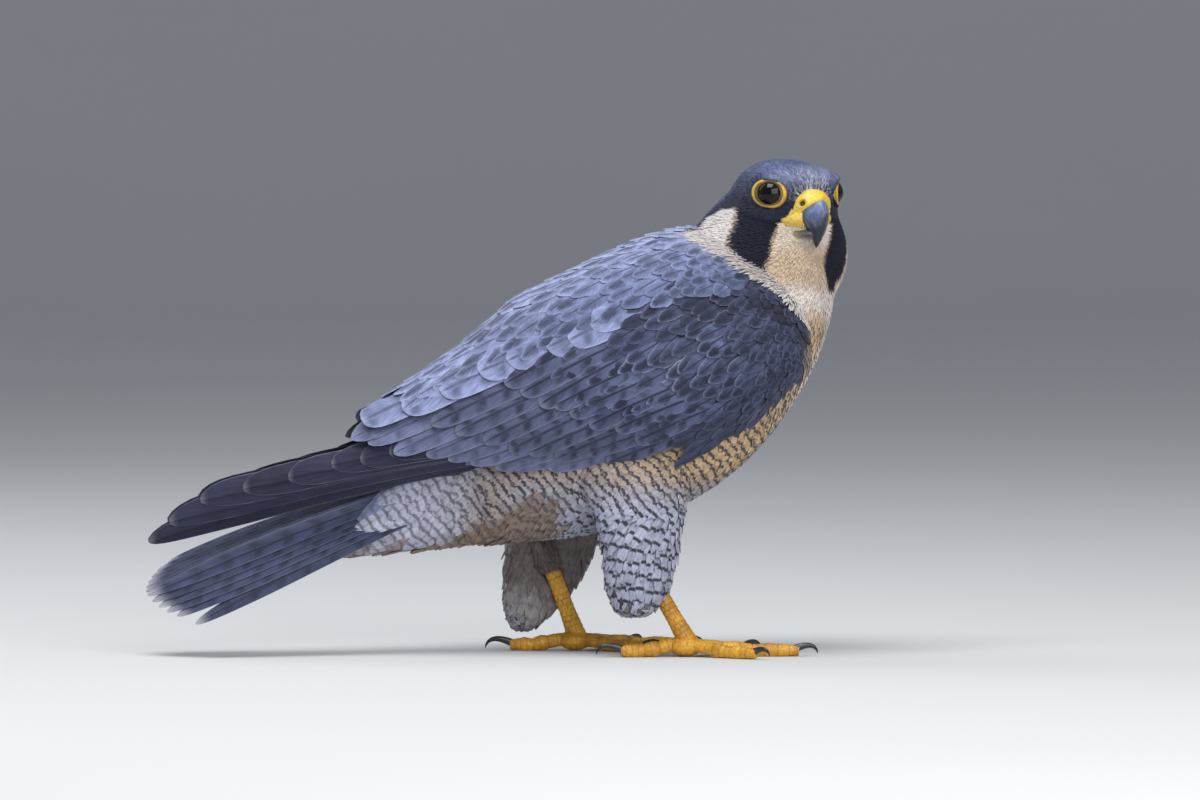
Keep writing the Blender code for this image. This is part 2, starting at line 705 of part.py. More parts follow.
def build_wings(whole_body):
    """Both folded wings: the base, flight feathers and tiers of coverts fused, and cut clear of the body."""
    wing = wing_base("wing_right")
    vanes = []
    for keys, count, layer, step, tilt, dive, late in FEATHER_ROWS:
        flat = smooth_rows([(*tip, *root, above, below) for tip, root, above, below in keys], count)
        for i, (tip_x, tip_z, root_x, root_z, above, below) in enumerate(flat):
            ends = (tip_x, tip_z), (root_x, root_z)
            vanes.append(vane(*ends, above, below, layer + step * i, tilt, dive, late))
    join(wing, vanes)
    for obj in (mirrored(wing, "wing_left"), wing):
        cut_away(obj, whole_body)


# Tail


def build_tail(tail):
    """Twelve tail feathers in a banked fan, the middle pair on top, fused into the tail coverts."""
    root, tip = np.array(TAIL_ROOT, float), np.array(TAIL_TIP, float)
    length = np.linalg.norm(tip - root)
    along = (tip - root) / length
    up = np.cross(along, (0, -1.0, 0))
    bank = math.radians(TAIL_BANK)
    side = np.array((0, math.cos(bank), 0)) + up * math.sin(bank)
    over = up * math.cos(bank) - np.array((0, math.sin(bank), 0))
    vanes = []
    for hand in (RIGHT, LEFT):
        for k, shorter in enumerate(TAIL_STEPS):
            points = []
            first = hand == RIGHT and k == 0  # this one lies over both halves
            layer = -VANE_PITCH * (k + (hand == LEFT))
            for share, width in zip(VANE_SHARE, TAIL_WIDTH):
                spread = TAIL_SPREAD_ROOT + (TAIL_SPREAD_TIP - TAIL_SPREAD_ROOT) * share
                arch = up * TAIL_ARCH * math.sin(math.pi * share)
                middle = root + along * (length - shorter) * share + arch + over * layer
                for edge in (TAIL_OUTER_WEB * width, -TAIL_INNER_WEB * width):
                    out = spread * (k + 0.5) * (TAIL_LEFT_SHARE if hand == LEFT else 1) + edge
                    out = out if first else max(out, 0.2)
                    for face in (0.0, -VANE_THICKNESS):
                        points.append(middle + side * hand * out + over * face)
            vanes.append(plate("tail_vane", np.array(points)))
    join(tail, vanes)
    return tail


# Legs and feet


def build_leg(side, name, sections, heel, ankle, whole_body):
    """One leg: feathered thigh, scaly tarsus, foot, four toes and their claws."""
    rings = []
    for z, front, rear, out, deep in smooth_rows(sections, 10):
        rings.append(
            ring(((front + rear) / 2, side * out, z), ((front - rear) / 2, 0, 0), (0, deep, 0), 2.2, 16)
        )
    thigh = loft(f"thigh_{name}", rings, "barred")
    heel, ankle = np.array(heel, float), np.array(ankle, float)
    shin = (heel - ankle) / np.linalg.norm(heel - ankle)
    share = np.linspace(-0.1, 1, 6)[:, None]
    radii = TARSUS_RADIUS * np.array([1.2, 1.15, 1.0, 0.97, 1.02, 1.2])
    tarsus = tube(f"tarsus_{name}", ankle + (heel - ankle) * share, radii, "yellow", 12)
    hub = egg(f"foot_{name}", (ankle[0], ankle[1], FOOT_HUB_HEIGHT), [FOOT_HUB_RADIUS] * 3, 0, "yellow", 10)
    keep_side(tarsus, ankle + shin * FOOT_CUT, shin, GAP / 2)
    stubs = [tube("stub", ankle + shin * np.array([[-5], [FOOT_CUT + 2]]), [4.6, 4.6], "yellow", 8)]
    for toe_name, degrees, length, stout, claw_length in TOES:
        turn = math.radians(degrees * side)
        forward = np.array((math.cos(turn), math.sin(turn), 0.0))
        start = np.array((ankle[0], ankle[1], 0.0)) + forward * TOE_START
        radius = TOE_RADIUS * stout
        path = start + forward * (TOE_REACH * length)[:, None] + np.outer(TOE_HEIGHT, (0, 0, 1.0))
        toe = tube(f"toe_{name}_{toe_name}", path, radius * TOE_GIRTH, "yellow", 8)
        keep_side(toe, (0, 0, 0), (0, 0, 1))
        keep_side(toe, start, forward, GAP / 2)
        stub = tube("stub", start + forward * [[-8], [2]] + (0, 0, TOE_HEIGHT[0]), [radius, 0.8 * radius], "yellow", 6)
        stubs.append(stub)
        curl = np.linspace(0, 1, 5)
        ahead = claw_length * 0.78 * np.sin(curl * 1.45) - 1.5
        rise = claw_length * (0.20 * np.sin(curl * math.pi * 0.85) - 0.19 * curl**2)
        base = start + forward * length + (0, 0, 3.2)
        claw_path = base + forward * ahead[:, None] + np.outer(rise, (0, 0, 1.0))
        radii = 2.0 * stout * (1 - curl) ** 0.75 + 0.28
        claw = tube(f"claw_{name}_{toe_name}", claw_path, radii, "black", 7, 0.8)
        keep_side(claw, (0, 0, 0.05), (0, 0, 1))
        cut_away(claw, toe)
    join(hub, stubs)
    for _, degrees, _, _, _ in TOES:
        turn = math.radians(degrees * side)
        forward = np.array((math.cos(turn), math.sin(turn), 0.0))
        keep_side(hub, (ankle[0], ankle[1], 0) + forward * TOE_START, -forward, GAP / 2)
    keep_side(hub, ankle + shin * FOOT_CUT, -shin, GAP / 2)
    keep_side(hub, (0, 0, 0), (0, 0, 1))
    room = wing_base("room", WING_ROOM, WING_SKIRT)
    if side == LEFT:
        right_room = room
        room = mirrored(right_room, "left_room")
        bpy.data.objects.remove(right_room)
    cut_away(thigh, whole_body, tarsus, room)
    bpy.data.objects.remove(room)


def smooth_all():
    """Shades the round pieces smooth."""
    for obj in FALCON.objects:
        obj.data.shade_smooth()
        obj.data.set_sharp_from_angle(angle=math.radians(40))


for old in list(bpy.data.objects):
    bpy.data.objects.remove(old)
FALCON = bpy.data.collections.new("peregrine_falcon")
bpy.context.scene.collection.children.link(FALCON)

torso_node = blended_body()
whole_body = copy_of(torso_node, "whole_body")
neck_node, head_node, coverts_node = part_body(torso_node)
build_face(head_node)
build_wings(whole_body)
build_tail(coverts_node)
build_leg(RIGHT, "right", RIGHT_THIGH, RIGHT_HEEL, RIGHT_ANKLE, whole_body)
build_leg(LEFT, "left", LEFT_THIGH, LEFT_HEEL, LEFT_ANKLE, whole_body)
bpy.data.objects.remove(whole_body)
smooth_all()
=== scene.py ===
"""Adult peregrine falcon at life size, dressed over the fixed frame of its solids.

Sizes are in millimetres and become Blender's metres when a mesh is made. X is the way the body faces, Y its left
and Z up. Every surface is worked out with numpy as a function of two parameters.
"""

import json
import logging
import math
from dataclasses import dataclass, field
from enum import Enum
from typing import Any, Callable, Sequence

import bmesh
import bpy
import numpy as np
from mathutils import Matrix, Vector
from mathutils.bvhtree import BVHTree
from mathutils.kdtree import KDTree

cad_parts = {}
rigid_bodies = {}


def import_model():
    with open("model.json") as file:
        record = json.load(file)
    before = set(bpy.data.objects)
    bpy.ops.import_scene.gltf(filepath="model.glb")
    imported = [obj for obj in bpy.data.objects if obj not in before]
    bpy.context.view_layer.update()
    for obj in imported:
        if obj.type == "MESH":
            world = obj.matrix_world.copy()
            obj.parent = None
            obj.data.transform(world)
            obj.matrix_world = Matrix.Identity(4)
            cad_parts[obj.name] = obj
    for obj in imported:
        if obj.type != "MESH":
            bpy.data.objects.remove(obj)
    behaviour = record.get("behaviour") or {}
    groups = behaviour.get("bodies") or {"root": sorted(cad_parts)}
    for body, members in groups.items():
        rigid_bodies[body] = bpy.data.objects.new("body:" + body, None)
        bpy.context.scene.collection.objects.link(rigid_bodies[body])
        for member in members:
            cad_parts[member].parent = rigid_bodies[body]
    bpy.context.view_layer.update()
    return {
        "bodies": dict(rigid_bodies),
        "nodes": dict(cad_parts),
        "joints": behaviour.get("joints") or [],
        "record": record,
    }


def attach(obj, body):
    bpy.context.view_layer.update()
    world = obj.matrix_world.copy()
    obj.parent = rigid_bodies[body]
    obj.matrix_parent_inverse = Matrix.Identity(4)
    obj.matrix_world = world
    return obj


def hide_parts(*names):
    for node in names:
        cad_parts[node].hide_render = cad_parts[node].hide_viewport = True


Array = np.ndarray
Colour = tuple[float, float, float]
Point = tuple[float, float, float]
Random = np.random.Generator
Dress = dict[str, bpy.types.Material]

MM = 0.001
log = logging.getLogger("falcon")


class Side(Enum):
    """The two sides of the bird, as the sign of Y."""

    RIGHT = -1
    LEFT = 1

    @property
    def word(self) -> str:
        """The side's name in lower case."""
        return self.name.lower()


# Numbers and curves


def unit(vectors: Array) -> Array:
    """Each vector divided by its own length."""
    return vectors / np.maximum(np.linalg.norm(vectors, axis=-1, keepdims=True), 1e-9)


def flat(vectors: Array, normals: Array) -> Array:
    """Each vector laid into the plane across its normal, at unit length."""
    return unit(vectors - (vectors * normals).sum(-1, keepdims=True) * normals)


def ease(low: float | Array, high: float | Array, value: Array) -> Array:
    """Smooth step: 3t^2 - 2t^3 of the share t of the way from low to high."""
    t = np.clip((value - low) / (high - low), 0, 1)
    return t * t * (3 - 2 * t)


def blend(first: Any, second: Any, share: Any) -> Array:
    """first + (second - first) * share, with the share spread over the last axis."""
    first, second = np.asarray(first, float), np.asarray(second, float)
    return first + (second - first) * np.asarray(share, float)[..., None]


def track(table: Any, x: Array) -> Array:
    """The second number of a table's rows at places x of the first, joined by straight lines."""
    return np.interp(x, *np.transpose(table))


def smooth_rows(rows: Any, count: int) -> Array:
    """Rows of numbers along a Catmull-Rom curve: a cubic through each four neighbouring rows.

    Args:
        rows: the key rows.
        count: how many rows to make.

    Returns:
        The resampled rows.
    """
    keys = np.asarray(rows, float)
    ends = np.vstack([2 * keys[0] - keys[1], keys, 2 * keys[-1] - keys[-2]])
    t = np.linspace(0, len(keys) - 1, count)
    i = np.minimum(t.astype(int), len(keys) - 2)
    f = (t - i)[:, None]
    a, b, c, d = ends[i], ends[i + 1], ends[i + 2], ends[i + 3]
    return 0.5 * (2 * b + (c - a) * f + (2 * a - 5 * b + 4 * c - d) * f**2 + (3 * b - a - 3 * c + d) * f**3)


def ripple(points: Array, scale: float) -> Array:
    """A soft irregular number from -1 to 1 at each point: a sum of sines along slanting directions."""
    p = points / scale
    a = np.sin(p @ np.array((1.0, 2.3, 0.7)) + 1.3) + np.sin(p @ np.array((-1.7, 0.6, 2.1)) + 0.4)
    b = np.sin(p @ np.array((2.9, -1.1, 1.9)) + 2.2) + np.sin(p @ np.array((0.8, 3.1, -2.7)) + 5.0)
    return (a + b) / 4


# Meshes


@dataclass
class Shape:
    """Points and four-sided faces of a mesh, with the maps and tints its finish reads."""

    points: Array
    quads: Array
    maps: dict[str, Array] = field(default_factory=dict)
    tints: dict[str, Array] = field(default_factory=dict)

    @staticmethod
    def many(grids: Array, closed: bool = True) -> "Shape":
        """Closed surfaces through several grids of points, wrapped round the second axis and capped at both ends.

        Args:
            grids: points, pieces by rows by columns by three, with an even number of columns.
            closed: whether flat faces close the first and last rows.

        Returns:
            One shape of all of them, each with its faces outwards.
        """
        count, rows, columns = grids.shape[:3]
        index = np.arange(rows * columns).reshape(rows, columns)
        beside = np.roll(index, -1, 1)
        quads = np.stack([index[:-1], beside[:-1], beside[1:], index[1:]], -1).reshape(-1, 4)
        if closed:
            i = np.arange(columns // 2 - 1)
            cap = np.stack([i, i + 1, columns - 2 - i, columns - 1 - i], -1)
            quads = np.vstack([quads, cap[:, ::-1], cap + (rows - 1) * columns])
        points = grids.reshape(count, -1, 3)
        own = points - points.mean(1, keepdims=True)
        a, b, c, d = (own[:, quads[:, i]] for i in range(4))
        volume = (a * (np.cross(b, c) + np.cross(c, d))).sum((1, 2))
        placed = quads[None] + (np.arange(count) * rows * columns)[:, None, None]
        placed = np.where((volume > 0)[:, None, None], placed, placed[..., ::-1])
        across, along = np.meshgrid(np.arange(columns) / columns, np.linspace(0, 1, rows))
        form = np.tile(np.stack([across, along], -1).reshape(-1, 2), (count, 1))
        return Shape(points.reshape(-1, 3), placed.reshape(-1, 4), {"Form": form})

    @staticmethod
    def one(grid: Array) -> "Shape":
        """A closed surface through one grid of points, wrapped round its columns."""
        return Shape.many(grid[None])

    def tinted(self, **tints: Array) -> "Shape":
        """The same shape with more tints, each one row for every point."""
        return Shape(self.points, self.quads, self.maps, {**self.tints, **tints})

    @staticmethod
    def together(shapes: Sequence["Shape"]) -> "Shape":
        """Several shapes with the same maps and tints as one."""
        starts = np.cumsum([0] + [len(shape.points) for shape in shapes])
        quads = np.vstack([shape.quads + start for shape, start in zip(shapes, starts)])
        maps = {name: np.vstack([shape.maps[name] for shape in shapes]) for name in shapes[0].maps}
        tints = {name: np.vstack([shape.tints[name] for shape in shapes]) for name in shapes[0].tints}
        return Shape(np.vstack([shape.points for shape in shapes]), quads, maps, tints)

    def mirrored(self) -> "Shape":
        """The shape on the bird's other side."""
        return Shape(self.points * (1, -1, 1), self.quads[:, ::-1].copy(), self.maps, self.tints)

    def piece(self, name: str, finish: bpy.types.Material, slot: str, *nodes: str,
              sharp: float = 70) -> bpy.types.Object:
        """Makes the mesh object, on the bird's one body.

        Args:
            name: the piece's name.
            finish: its material.
            slot: a material slot's name; not used.
            nodes: the solids that it stands for.
            sharp: degrees between two faces from which their edge stays sharp.

        Returns:
            The new object, at the origin.
        """
        mesh = bpy.data.meshes.new(name)
        mesh.vertices.add(len(self.points))
        mesh.vertices.foreach_set("co", (self.points * MM).astype(np.float32).ravel())
        corners = self.quads.ravel().astype(np.int32)
        mesh.loops.add(len(corners))
        mesh.loops.foreach_set("vertex_index", corners)
        mesh.polygons.add(len(self.quads))
        mesh.polygons.foreach_set("loop_start", np.arange(0, len(corners), 4, dtype=np.int32))
        mesh.update(calc_edges=True)
        for title, values in self.maps.items():
            mesh.uv_layers.new(name=title).data.foreach_set("uv", values[corners].astype(np.float32).ravel())
        for title, values in self.tints.items():
            rows = np.ones((len(values), 4), np.float32)
            rows[:, : values.shape[1]] = values
            mesh.attributes.new(title, "FLOAT_COLOR", "POINT").data.foreach_set("color", rows.ravel())
        mesh.shade_smooth()
        mesh.set_sharp_from_angle(angle=math.radians(sharp))
        mesh.materials.append(finish)
        made = bpy.data.objects.new(name, mesh)
        bpy.context.scene.collection.objects.link(made)
        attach(made, "root")
        if nodes:
            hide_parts(*nodes)
        log.info("%s: %d faces", name, len(self.quads))
        return made


class Surface:
    """A surface that feathers lie on: its nearest points and smooth outward normals."""

    def __init__(self, points: Array, faces: Array) -> None:
        """Builds the tree of faces and the normals.

        Args:
            points: the surface's points in millimetres.
            faces: indices of each face's four corners.
        """
        self.points, self.faces = points, faces
        a, b, c, d = (points[faces[:, i]] for i in range(4))
        cross = np.cross(c - a, d - b)
        self.areas = np.linalg.norm(cross, axis=1) / 2
        self.normals = np.zeros_like(points)
        for i in range(4):
            np.add.at(self.normals, faces[:, i], cross)
        self.normals = unit(self.normals)
        self.tree = BVHTree.FromPolygons(points.tolist(), faces.tolist())

    def nearest(self, points: Array) -> tuple[Array, Array]:
        """The nearest points of the surface, and the normals there weighted by nearness to each face's corners."""
        shape = points.shape
        found = [self.tree.find_nearest(Vector(p)) for p in points.reshape(-1, 3)]
        near = np.array([hit[0] for hit in found])
        corners = self.faces[np.array([hit[2] for hit in found])]
        gap = np.linalg.norm(self.points[corners] - near[:, None], axis=-1)
        share = 1 / (gap**2 + 0.05)
        normals = unit((self.normals[corners] * share[..., None]).sum(1))
        return near.reshape(shape), normals.reshape(shape)

    def spread(
        self, spacing: Callable[[Array], Array], course: Callable[[Array], Array], squeeze: float, rng: Random
    ) -> Array:
        """Roots spread over the surface, none nearer another than its spacing.

        Args:
            spacing: gives the wanted distance across the feathers at points, or zero where nothing grows.
            course: gives the way the feathers point.
            squeeze: the distance across the feathers as a share of the one along them.
            rng: the random numbers.

        Returns:
            The roots.
        """
        middle = self.points[self.faces].mean(1)
        gap = spacing(middle)
        dense = np.where(gap > 0, self.areas / np.maximum(gap, 0.4) ** 2, 0) * squeeze
        count = int(dense.sum() * 7)
        face = np.minimum(np.searchsorted(np.cumsum(dense) / dense.sum(), rng.random(count)), len(self.faces) - 1)
        s, t = rng.random((2, count, 1))
        a, b, c, d = (self.points[self.faces[face, i]] for i in range(4))
        places = (a * (1 - s) + b * s) * (1 - t) + (d * (1 - s) + c * s) * t
        near, ways = spacing(places), unit(course(places))
        tree = KDTree(count)
        for i, place in enumerate(places.tolist()):
            tree.insert(place, i)
        tree.balance()
        free = near > 0
        kept = []
        for i, place in enumerate(places.tolist()):
            if free[i]:
                kept.append(i)
                close = np.array([hit[1] for hit in tree.find_range(place, float(near[i]) / squeeze)])
                away = places[close] - places[i]
                along = away @ ways[i]
                free[close[(away**2).sum(1) - (1 - squeeze**2) * along**2 < near[i] ** 2]] = False
        return places[kept]


# The bird's own form


class Head:
    """The head's own axes, forward, left and up, and the places of its parts in them."""

    CENTRE = np.array((151.0, -2.0, 236.0))
    YAW, PITCH = -63, 8
    EYE_OPENING = np.array((14.8, 21.9, 6.0))
    EYE_FACING = np.array((0.62, 0.78, 0.10)) / math.sqrt(0.62**2 + 0.78**2 + 0.10**2)
    EYE_DEPTH, EYE_RADIUS = 6.9, 9.0

    def __init__(self) -> None:
        """Turns the head to the bird's right and pitches it down."""
        yaw, pitch = math.radians(self.YAW), math.radians(self.PITCH)
        cy, sy, cp, sp = math.cos(yaw), math.sin(yaw), math.cos(pitch), math.sin(pitch)
        self.axes = np.array(((cy * cp, sy * cp, -sp), (-sy, cy, 0.0), (cy * sp, sy * sp, cp)))

    def out(self, places: Any) -> Array:
        """Places of the head's own frame in the bird's."""
        return self.CENTRE + np.asarray(places, float) @ self.axes

    def into(self, points: Array) -> Array:
        """Points of the bird's frame in the head's own."""
        return (points - self.CENTRE) @ self.axes.T

    def turned(self, vectors: Any) -> Array:
        """Directions of the head's own frame in the bird's."""
        return np.asarray(vectors, float) @ self.axes

    def eye(self, side: Side) -> tuple[Array, Array, Array, Array]:
        """In the head's own frame: the middle of one eye's lids, the way it faces, and level and upward across it."""
        flip = np.array((1, side.value, 1))
        facing = self.EYE_FACING * flip
        level = unit(np.cross(facing, (0, 0, 1.0)))
        return self.EYE_OPENING * flip, facing, level, np.cross(level, facing)


class Cloak:
    """The folded wings' outer surface: a superellipse over the back that turns in below its widest line."""

    # x, top, widest height, lower edge, half width
    ROWS = (
        (159.5, 168, 156, 152, 33), (157.5, 176, 155, 147, 40), (152, 190, 153, 141.5, 48),
        (142, 203, 151, 132.5, 53.5), (130, 212, 149, 122.5, 57), (110, 220, 146, 110.5, 59),
        (85, 217.5, 141, 99.5, 59), (60, 208, 135, 96.5, 57), (35, 196, 129, 94.5, 53.5),
        (10, 183.5, 122, 93, 48.5), (-15, 162.5, 115, 92, 42), (-40, 144.5, 108, 88.5, 35.5),
        (-60, 131.5, 101, 83.5, 31), (-82, 116, 94, 78, 27), (-105, 107, 87, 74, 24),
        (-126, 98, 80, 69.5, 21), (-157, 86, 72, 64, 17.5), (-183, 66, 62, 57, 15),
    )
    POWER = 2.25
    # x and degrees down from the middle of the back where the wing comes out of the neck's feathers
    EDGE = ((-40, 0), (40, 0), (62, 4), (76, 11), (93, 21), (108, 32), (120, 40), (129, 46), (137, 50),
            (145, 55), (152, 63), (160, 84))
    # x and how far the flesh and bone of the wing lie under its coverts
    SINK = ((-60, 6.0), (-30, 6.5), (0, 4.6), (30, 3.8), (75, 3.2), (108, 1.6), (125, 1.2), (160, 1.0))

    def __init__(self) -> None:
        """Smooths the rows and sorts them by x."""
        self.rows = smooth_rows(self.ROWS, 240)[::-1]

    def at(self, x: Array) -> list[Array]:
        """Top, widest height, lower edge and half width at x; the top of the tips is drawn upright."""
        top, widest, lower, wide = (np.interp(x, self.rows[:, 0], self.rows[:, i]) for i in range(1, 5))
        return [top + 20 * np.clip((-60 - x) / 100, 0, 1), widest, lower, wide]

    def saddle(self, x: Array, turn: Array) -> Array:
        """Points at x and a signed turn: 0 over the back, 1 at the left's widest line and 1.6 at its lower edge."""
        top, widest, lower, wide = self.at(x)
        angle = np.minimum(np.abs(turn), 1) * math.pi / 2
        below = np.clip(np.abs(turn) - 1, 0, None) / 0.6
        height = widest + (top - widest) * np.maximum(np.cos(angle), 0) ** (2 / self.POWER) - (widest - lower) * below
        drop = (widest - lower) * below / np.maximum(widest - lower, 16)
        out = wide * np.sin(angle) ** (2 / self.POWER) * (1 - 0.3 * drop**2)
        return np.stack(np.broadcast_arrays(x, np.sign(turn) * out, height), -1)

    def side(self, x: Array, height: Array) -> Array:
        """Points of the right wing at x and a height."""
        top, widest, lower, wide = self.at(x)
        above = np.clip((height - widest) / (top - widest), 0, 0.985)
        below = np.clip((widest - height) / np.maximum(widest - lower, 16), 0, 1.6)
        out = wide * (1 - above**self.POWER) ** (1 / self.POWER) * (1 - 0.3 * below**2)
        spare = np.clip(height - (widest + 0.985 * (top - widest)), 0, None)
        return np.stack([x, -np.maximum(out - 2 * spare, 1.2), height - 0.7 * spare], -1)

    def place(self, x: Array, height: Array, layer: Array) -> Array:
        """Points of the right wing at x and a height, moved out by a layer's depth along the normal."""
        x, height, layer = (np.asarray(a, float) for a in np.broadcast_arrays(x, height, layer))
        here = self.side(x, height)
        normal = unit(np.cross(self.side(x, height - 0.5) - here, self.side(x + 0.5, height) - here))
        return here + normal * layer[..., None]

    def over(self, points: Array) -> Array:
        """How far points lie inside the wings' surface, and less than zero where no wing covers them."""
        x, y, z = points[:, 0], np.abs(points[:, 1]), points[:, 2]
        top, widest, lower, wide = self.at(x)
        above = np.clip((z - widest) / (top - widest), 0, 1)
        out = wide * (1 - above**self.POWER) ** (1 / self.POWER)
        turn = np.degrees(np.arctan2(np.maximum(y / wide, 1e-3) ** (self.POWER / 2),
            np.maximum(above, 0) ** (self.POWER / 2)))
        edge = track(self.EDGE, x)
        depth = np.minimum(out - y, (top - z) * 1.5)
        free = (x > 156) | (x < -75) | (z < lower + 8) | (turn < edge + 3) | (z > top + 2)
        return np.where(free, -1.0, depth)


class Lie:
    """Which way the feathers point."""

    TAILWARDS = np.array((-0.82, 0.0, -0.57))

    def __init__(self, head: Head) -> None:
        """Keeps the head's axes."""
        self.head = head

    def body(self, points: Array) -> Array:
        """Away from the bill on the head, along the trunk to the tail, and down on the thighs."""
        own = self.head.into(points)
        away = unit(own - np.array((30.0, 0.0, -2.0)))
        for side in Side:
            middle, facing, *_ = self.head.eye(side)
            off = own - middle
            off = off - (off @ facing)[:, None] * facing
            near = ease(15, 9, np.linalg.norm(own - middle, axis=1))
            away = blend(away, unit(off), near * 0.8)
        away = self.head.turned(unit(away))
        share = ease(228, 196, points[:, 2]) * ease(30, 62, np.linalg.norm(own + np.array((4.0, 0, 0)), axis=1))
        share = np.maximum(share, ease(112, 96, points[:, 0]))
        course = blend(unit(away), self.TAILWARDS, share)
        down = np.stack([-0.28 + 0 * points[:, 0], 0 * points[:, 0], -1 + 0 * points[:, 0]], -1)
        legs = ease(84, 66, points[:, 2]) * ease(4, 16, points[:, 0])
        return unit(blend(unit(course), unit(down), legs))

    @staticmethod
    def wing(points: Array) -> Array:
        """Rearwards and down along the folded wing, steeper towards its lower edge."""
        x, z = points[:, 0], points[:, 2]
        drop = np.interp(x, (-60, 40, 100, 140, 160), (0.42, 0.62, 0.62, 0.75, 1.0))
        low = ease(150, 118, z) * ease(20, 90, x)
        return unit(np.stack([-1 + 0 * x, 0 * x, -(drop * (1 - low) + 0.40 * low)], -1))


# Finishes


class Wire:
    """A number in a shader, with arithmetic that adds Math nodes."""

    def __init__(self, sheet: "Sheet", socket: Any) -> None:
        """Keeps the sheet and the socket that the number comes from."""
        self.sheet, self.socket = sheet, socket

    def math(self, operation: str, *others: Any) -> "Wire":
        """A Math node of this number and others."""
        made = self.sheet.node("ShaderNodeMath", {"operation": operation},
                               **{str(i): v for i, v in enumerate((self, *others))})
        return Wire(self.sheet, made.outputs[0])

    def swapped(self, operation: str, other: Any) -> "Wire":
        """A Math node with this number second."""
        made = self.sheet.node("ShaderNodeMath", {"operation": operation}, **{"0": other, "1": self})
        return Wire(self.sheet, made.outputs[0])

    def __add__(self, other: Any) -> "Wire":
        """Sum."""
        return self.math("ADD", other)

    __radd__ = __add__

    def __mul__(self, other: Any) -> "Wire":
        """Product."""
        return self.math("MULTIPLY", other)

    __rmul__ = __mul__

    def __sub__(self, other: Any) -> "Wire":
        """Difference."""
        return self.math("SUBTRACT", other)

    def __rsub__(self, other: Any) -> "Wire":
        """Difference the other way round."""
        return self.swapped("SUBTRACT", other)

    def __truediv__(self, other: Any) -> "Wire":
        """Quotient."""
        return self.math("DIVIDE", other)

    def __rtruediv__(self, other: Any) -> "Wire":
        """Quotient the other way round."""
        return self.swapped("DIVIDE", other)

    def __pow__(self, other: Any) -> "Wire":
        """Power."""
        return self.math("POWER", other)

    def __abs__(self) -> "Wire":
        """The number without its sign."""
        return self.math("ABSOLUTE")

    def most(self, other: Any) -> "Wire":
        """The larger of the two."""
        return self.math("MAXIMUM", other)

    def fraction(self) -> "Wire":
        """What is left of the number after its whole part."""
        return self.math("FRACT")

    def sine(self) -> "Wire":
        """Sine."""
        return self.math("SINE")

    def ease(self, low: Any, high: Any) -> "Wire":
        """Smooth step from 0 at low to 1 at high, or the other way round where low is the larger."""
        settings = {"interpolation_type": "SMOOTHSTEP"}
        made = self.sheet.node(
            "ShaderNodeMapRange", settings, Value=self,
            **{"From Min": low, "From Max": high, "To Min": 0.0, "To Max": 1.0}
        )
        return Wire(self.sheet, made.outputs[0])


class Sheet:
    """One material's nodes."""

    def __init__(self, name: str) -> None:
        """Makes the material with its Principled shader."""
        self.material = bpy.data.materials.new(name)
        self.material.use_nodes = True
        self.tree = self.material.node_tree
        self.shader = self.tree.nodes["Principled BSDF"]

    def node(self, kind: str, settings: dict[str, Any] | None = None, **inputs: Any) -> Any:
        """Adds a node.

        Args:
            kind: the node's type.
            settings: its properties, set before its sockets are filled.
            inputs: values or links by the sockets' names or numbers.

        Returns:
            The node.
        """
        made = self.tree.nodes.new(kind)
        for name, value in (settings or {}).items():
            setattr(made, name, value)
        for name, value in inputs.items():
            self.fill(made.inputs[int(name) if name.isdigit() else name], value)
        return made

    def fill(self, socket: Any, value: Any) -> None:
        """Links a wire or another node's socket, or sets a constant."""
        if isinstance(value, Wire):
            self.tree.links.new(value.socket, socket)
        elif isinstance(value, bpy.types.NodeSocket):
            self.tree.links.new(value, socket)
        elif isinstance(value, tuple) and len(value) == 3 and socket.type == "RGBA":
            socket.default_value = (*value, 1)
        else:
            socket.default_value = value

    def mix(self, first: Any, second: Any, share: Any, how: str = "MIX") -> Any:
        """A colour between two, or their blend in another manner."""
        made = self.tree.nodes.new("ShaderNodeMix")
        made.data_type, made.blend_type, made.clamp_factor = "RGBA", how, True
        for socket, value in ((made.inputs[0], share), (made.inputs[6], first), (made.inputs[7], second)):
            self.fill(socket, value)
        return made.outputs[2]

    def tint(self, name: str) -> tuple[Any, Wire, Wire, Wire, Wire]:
        """A tint of the mesh: its colour, and its red, green, blue and alpha as numbers."""
        read = self.node("ShaderNodeAttribute", {"attribute_name": name})
        parts = self.node("ShaderNodeSeparateColor", None, Color=read.outputs["Color"])
        wires = [Wire(self, parts.outputs[i]) for i in range(3)]
        return read.outputs["Color"], *wires, Wire(self, read.outputs["Alpha"])

    def map(self, name: str) -> tuple[Wire, Wire]:
        """A map of the mesh as two numbers."""
        parts = self.node("ShaderNodeSeparateXYZ", None,
                          Vector=self.node("ShaderNodeUVMap", {"uv_map": name}).outputs[0])
        return Wire(self, parts.outputs[0]), Wire(self, parts.outputs[1])

    def noise(self, scale: float, detail: float = 3.0, stretch: Point | None = None) -> Wire:
        """Noise in the object's own coordinates, with features a scale's part of a metre across."""
        place = self.node("ShaderNodeTexCoord").outputs["Object"]
        if stretch:
            place = self.node("ShaderNodeVectorMath", {"operation": "MULTIPLY"},
                              **{"0": place, "1": stretch}).outputs[0]
        return Wire(self, self.node("ShaderNodeTexNoise", None, Vector=place, Scale=scale, Detail=detail).outputs[0])

    def bump(self, height: Wire, strength: float, distance: float) -> None:
        """Feeds the shader's normal from a height."""
        made = self.node("ShaderNodeBump", None, Height=height, Strength=strength, Distance=distance)
        self.tree.links.new(made.outputs[0], self.shader.inputs["Normal"])

    def finish(self, **inputs: Any) -> bpy.types.Material:
        """Fills the shader's sockets, named with underscores for spaces, and returns the material."""
        for name, value in inputs.items():
            self.fill(self.shader.inputs[name.replace("_", " ")], value)
        return self.material


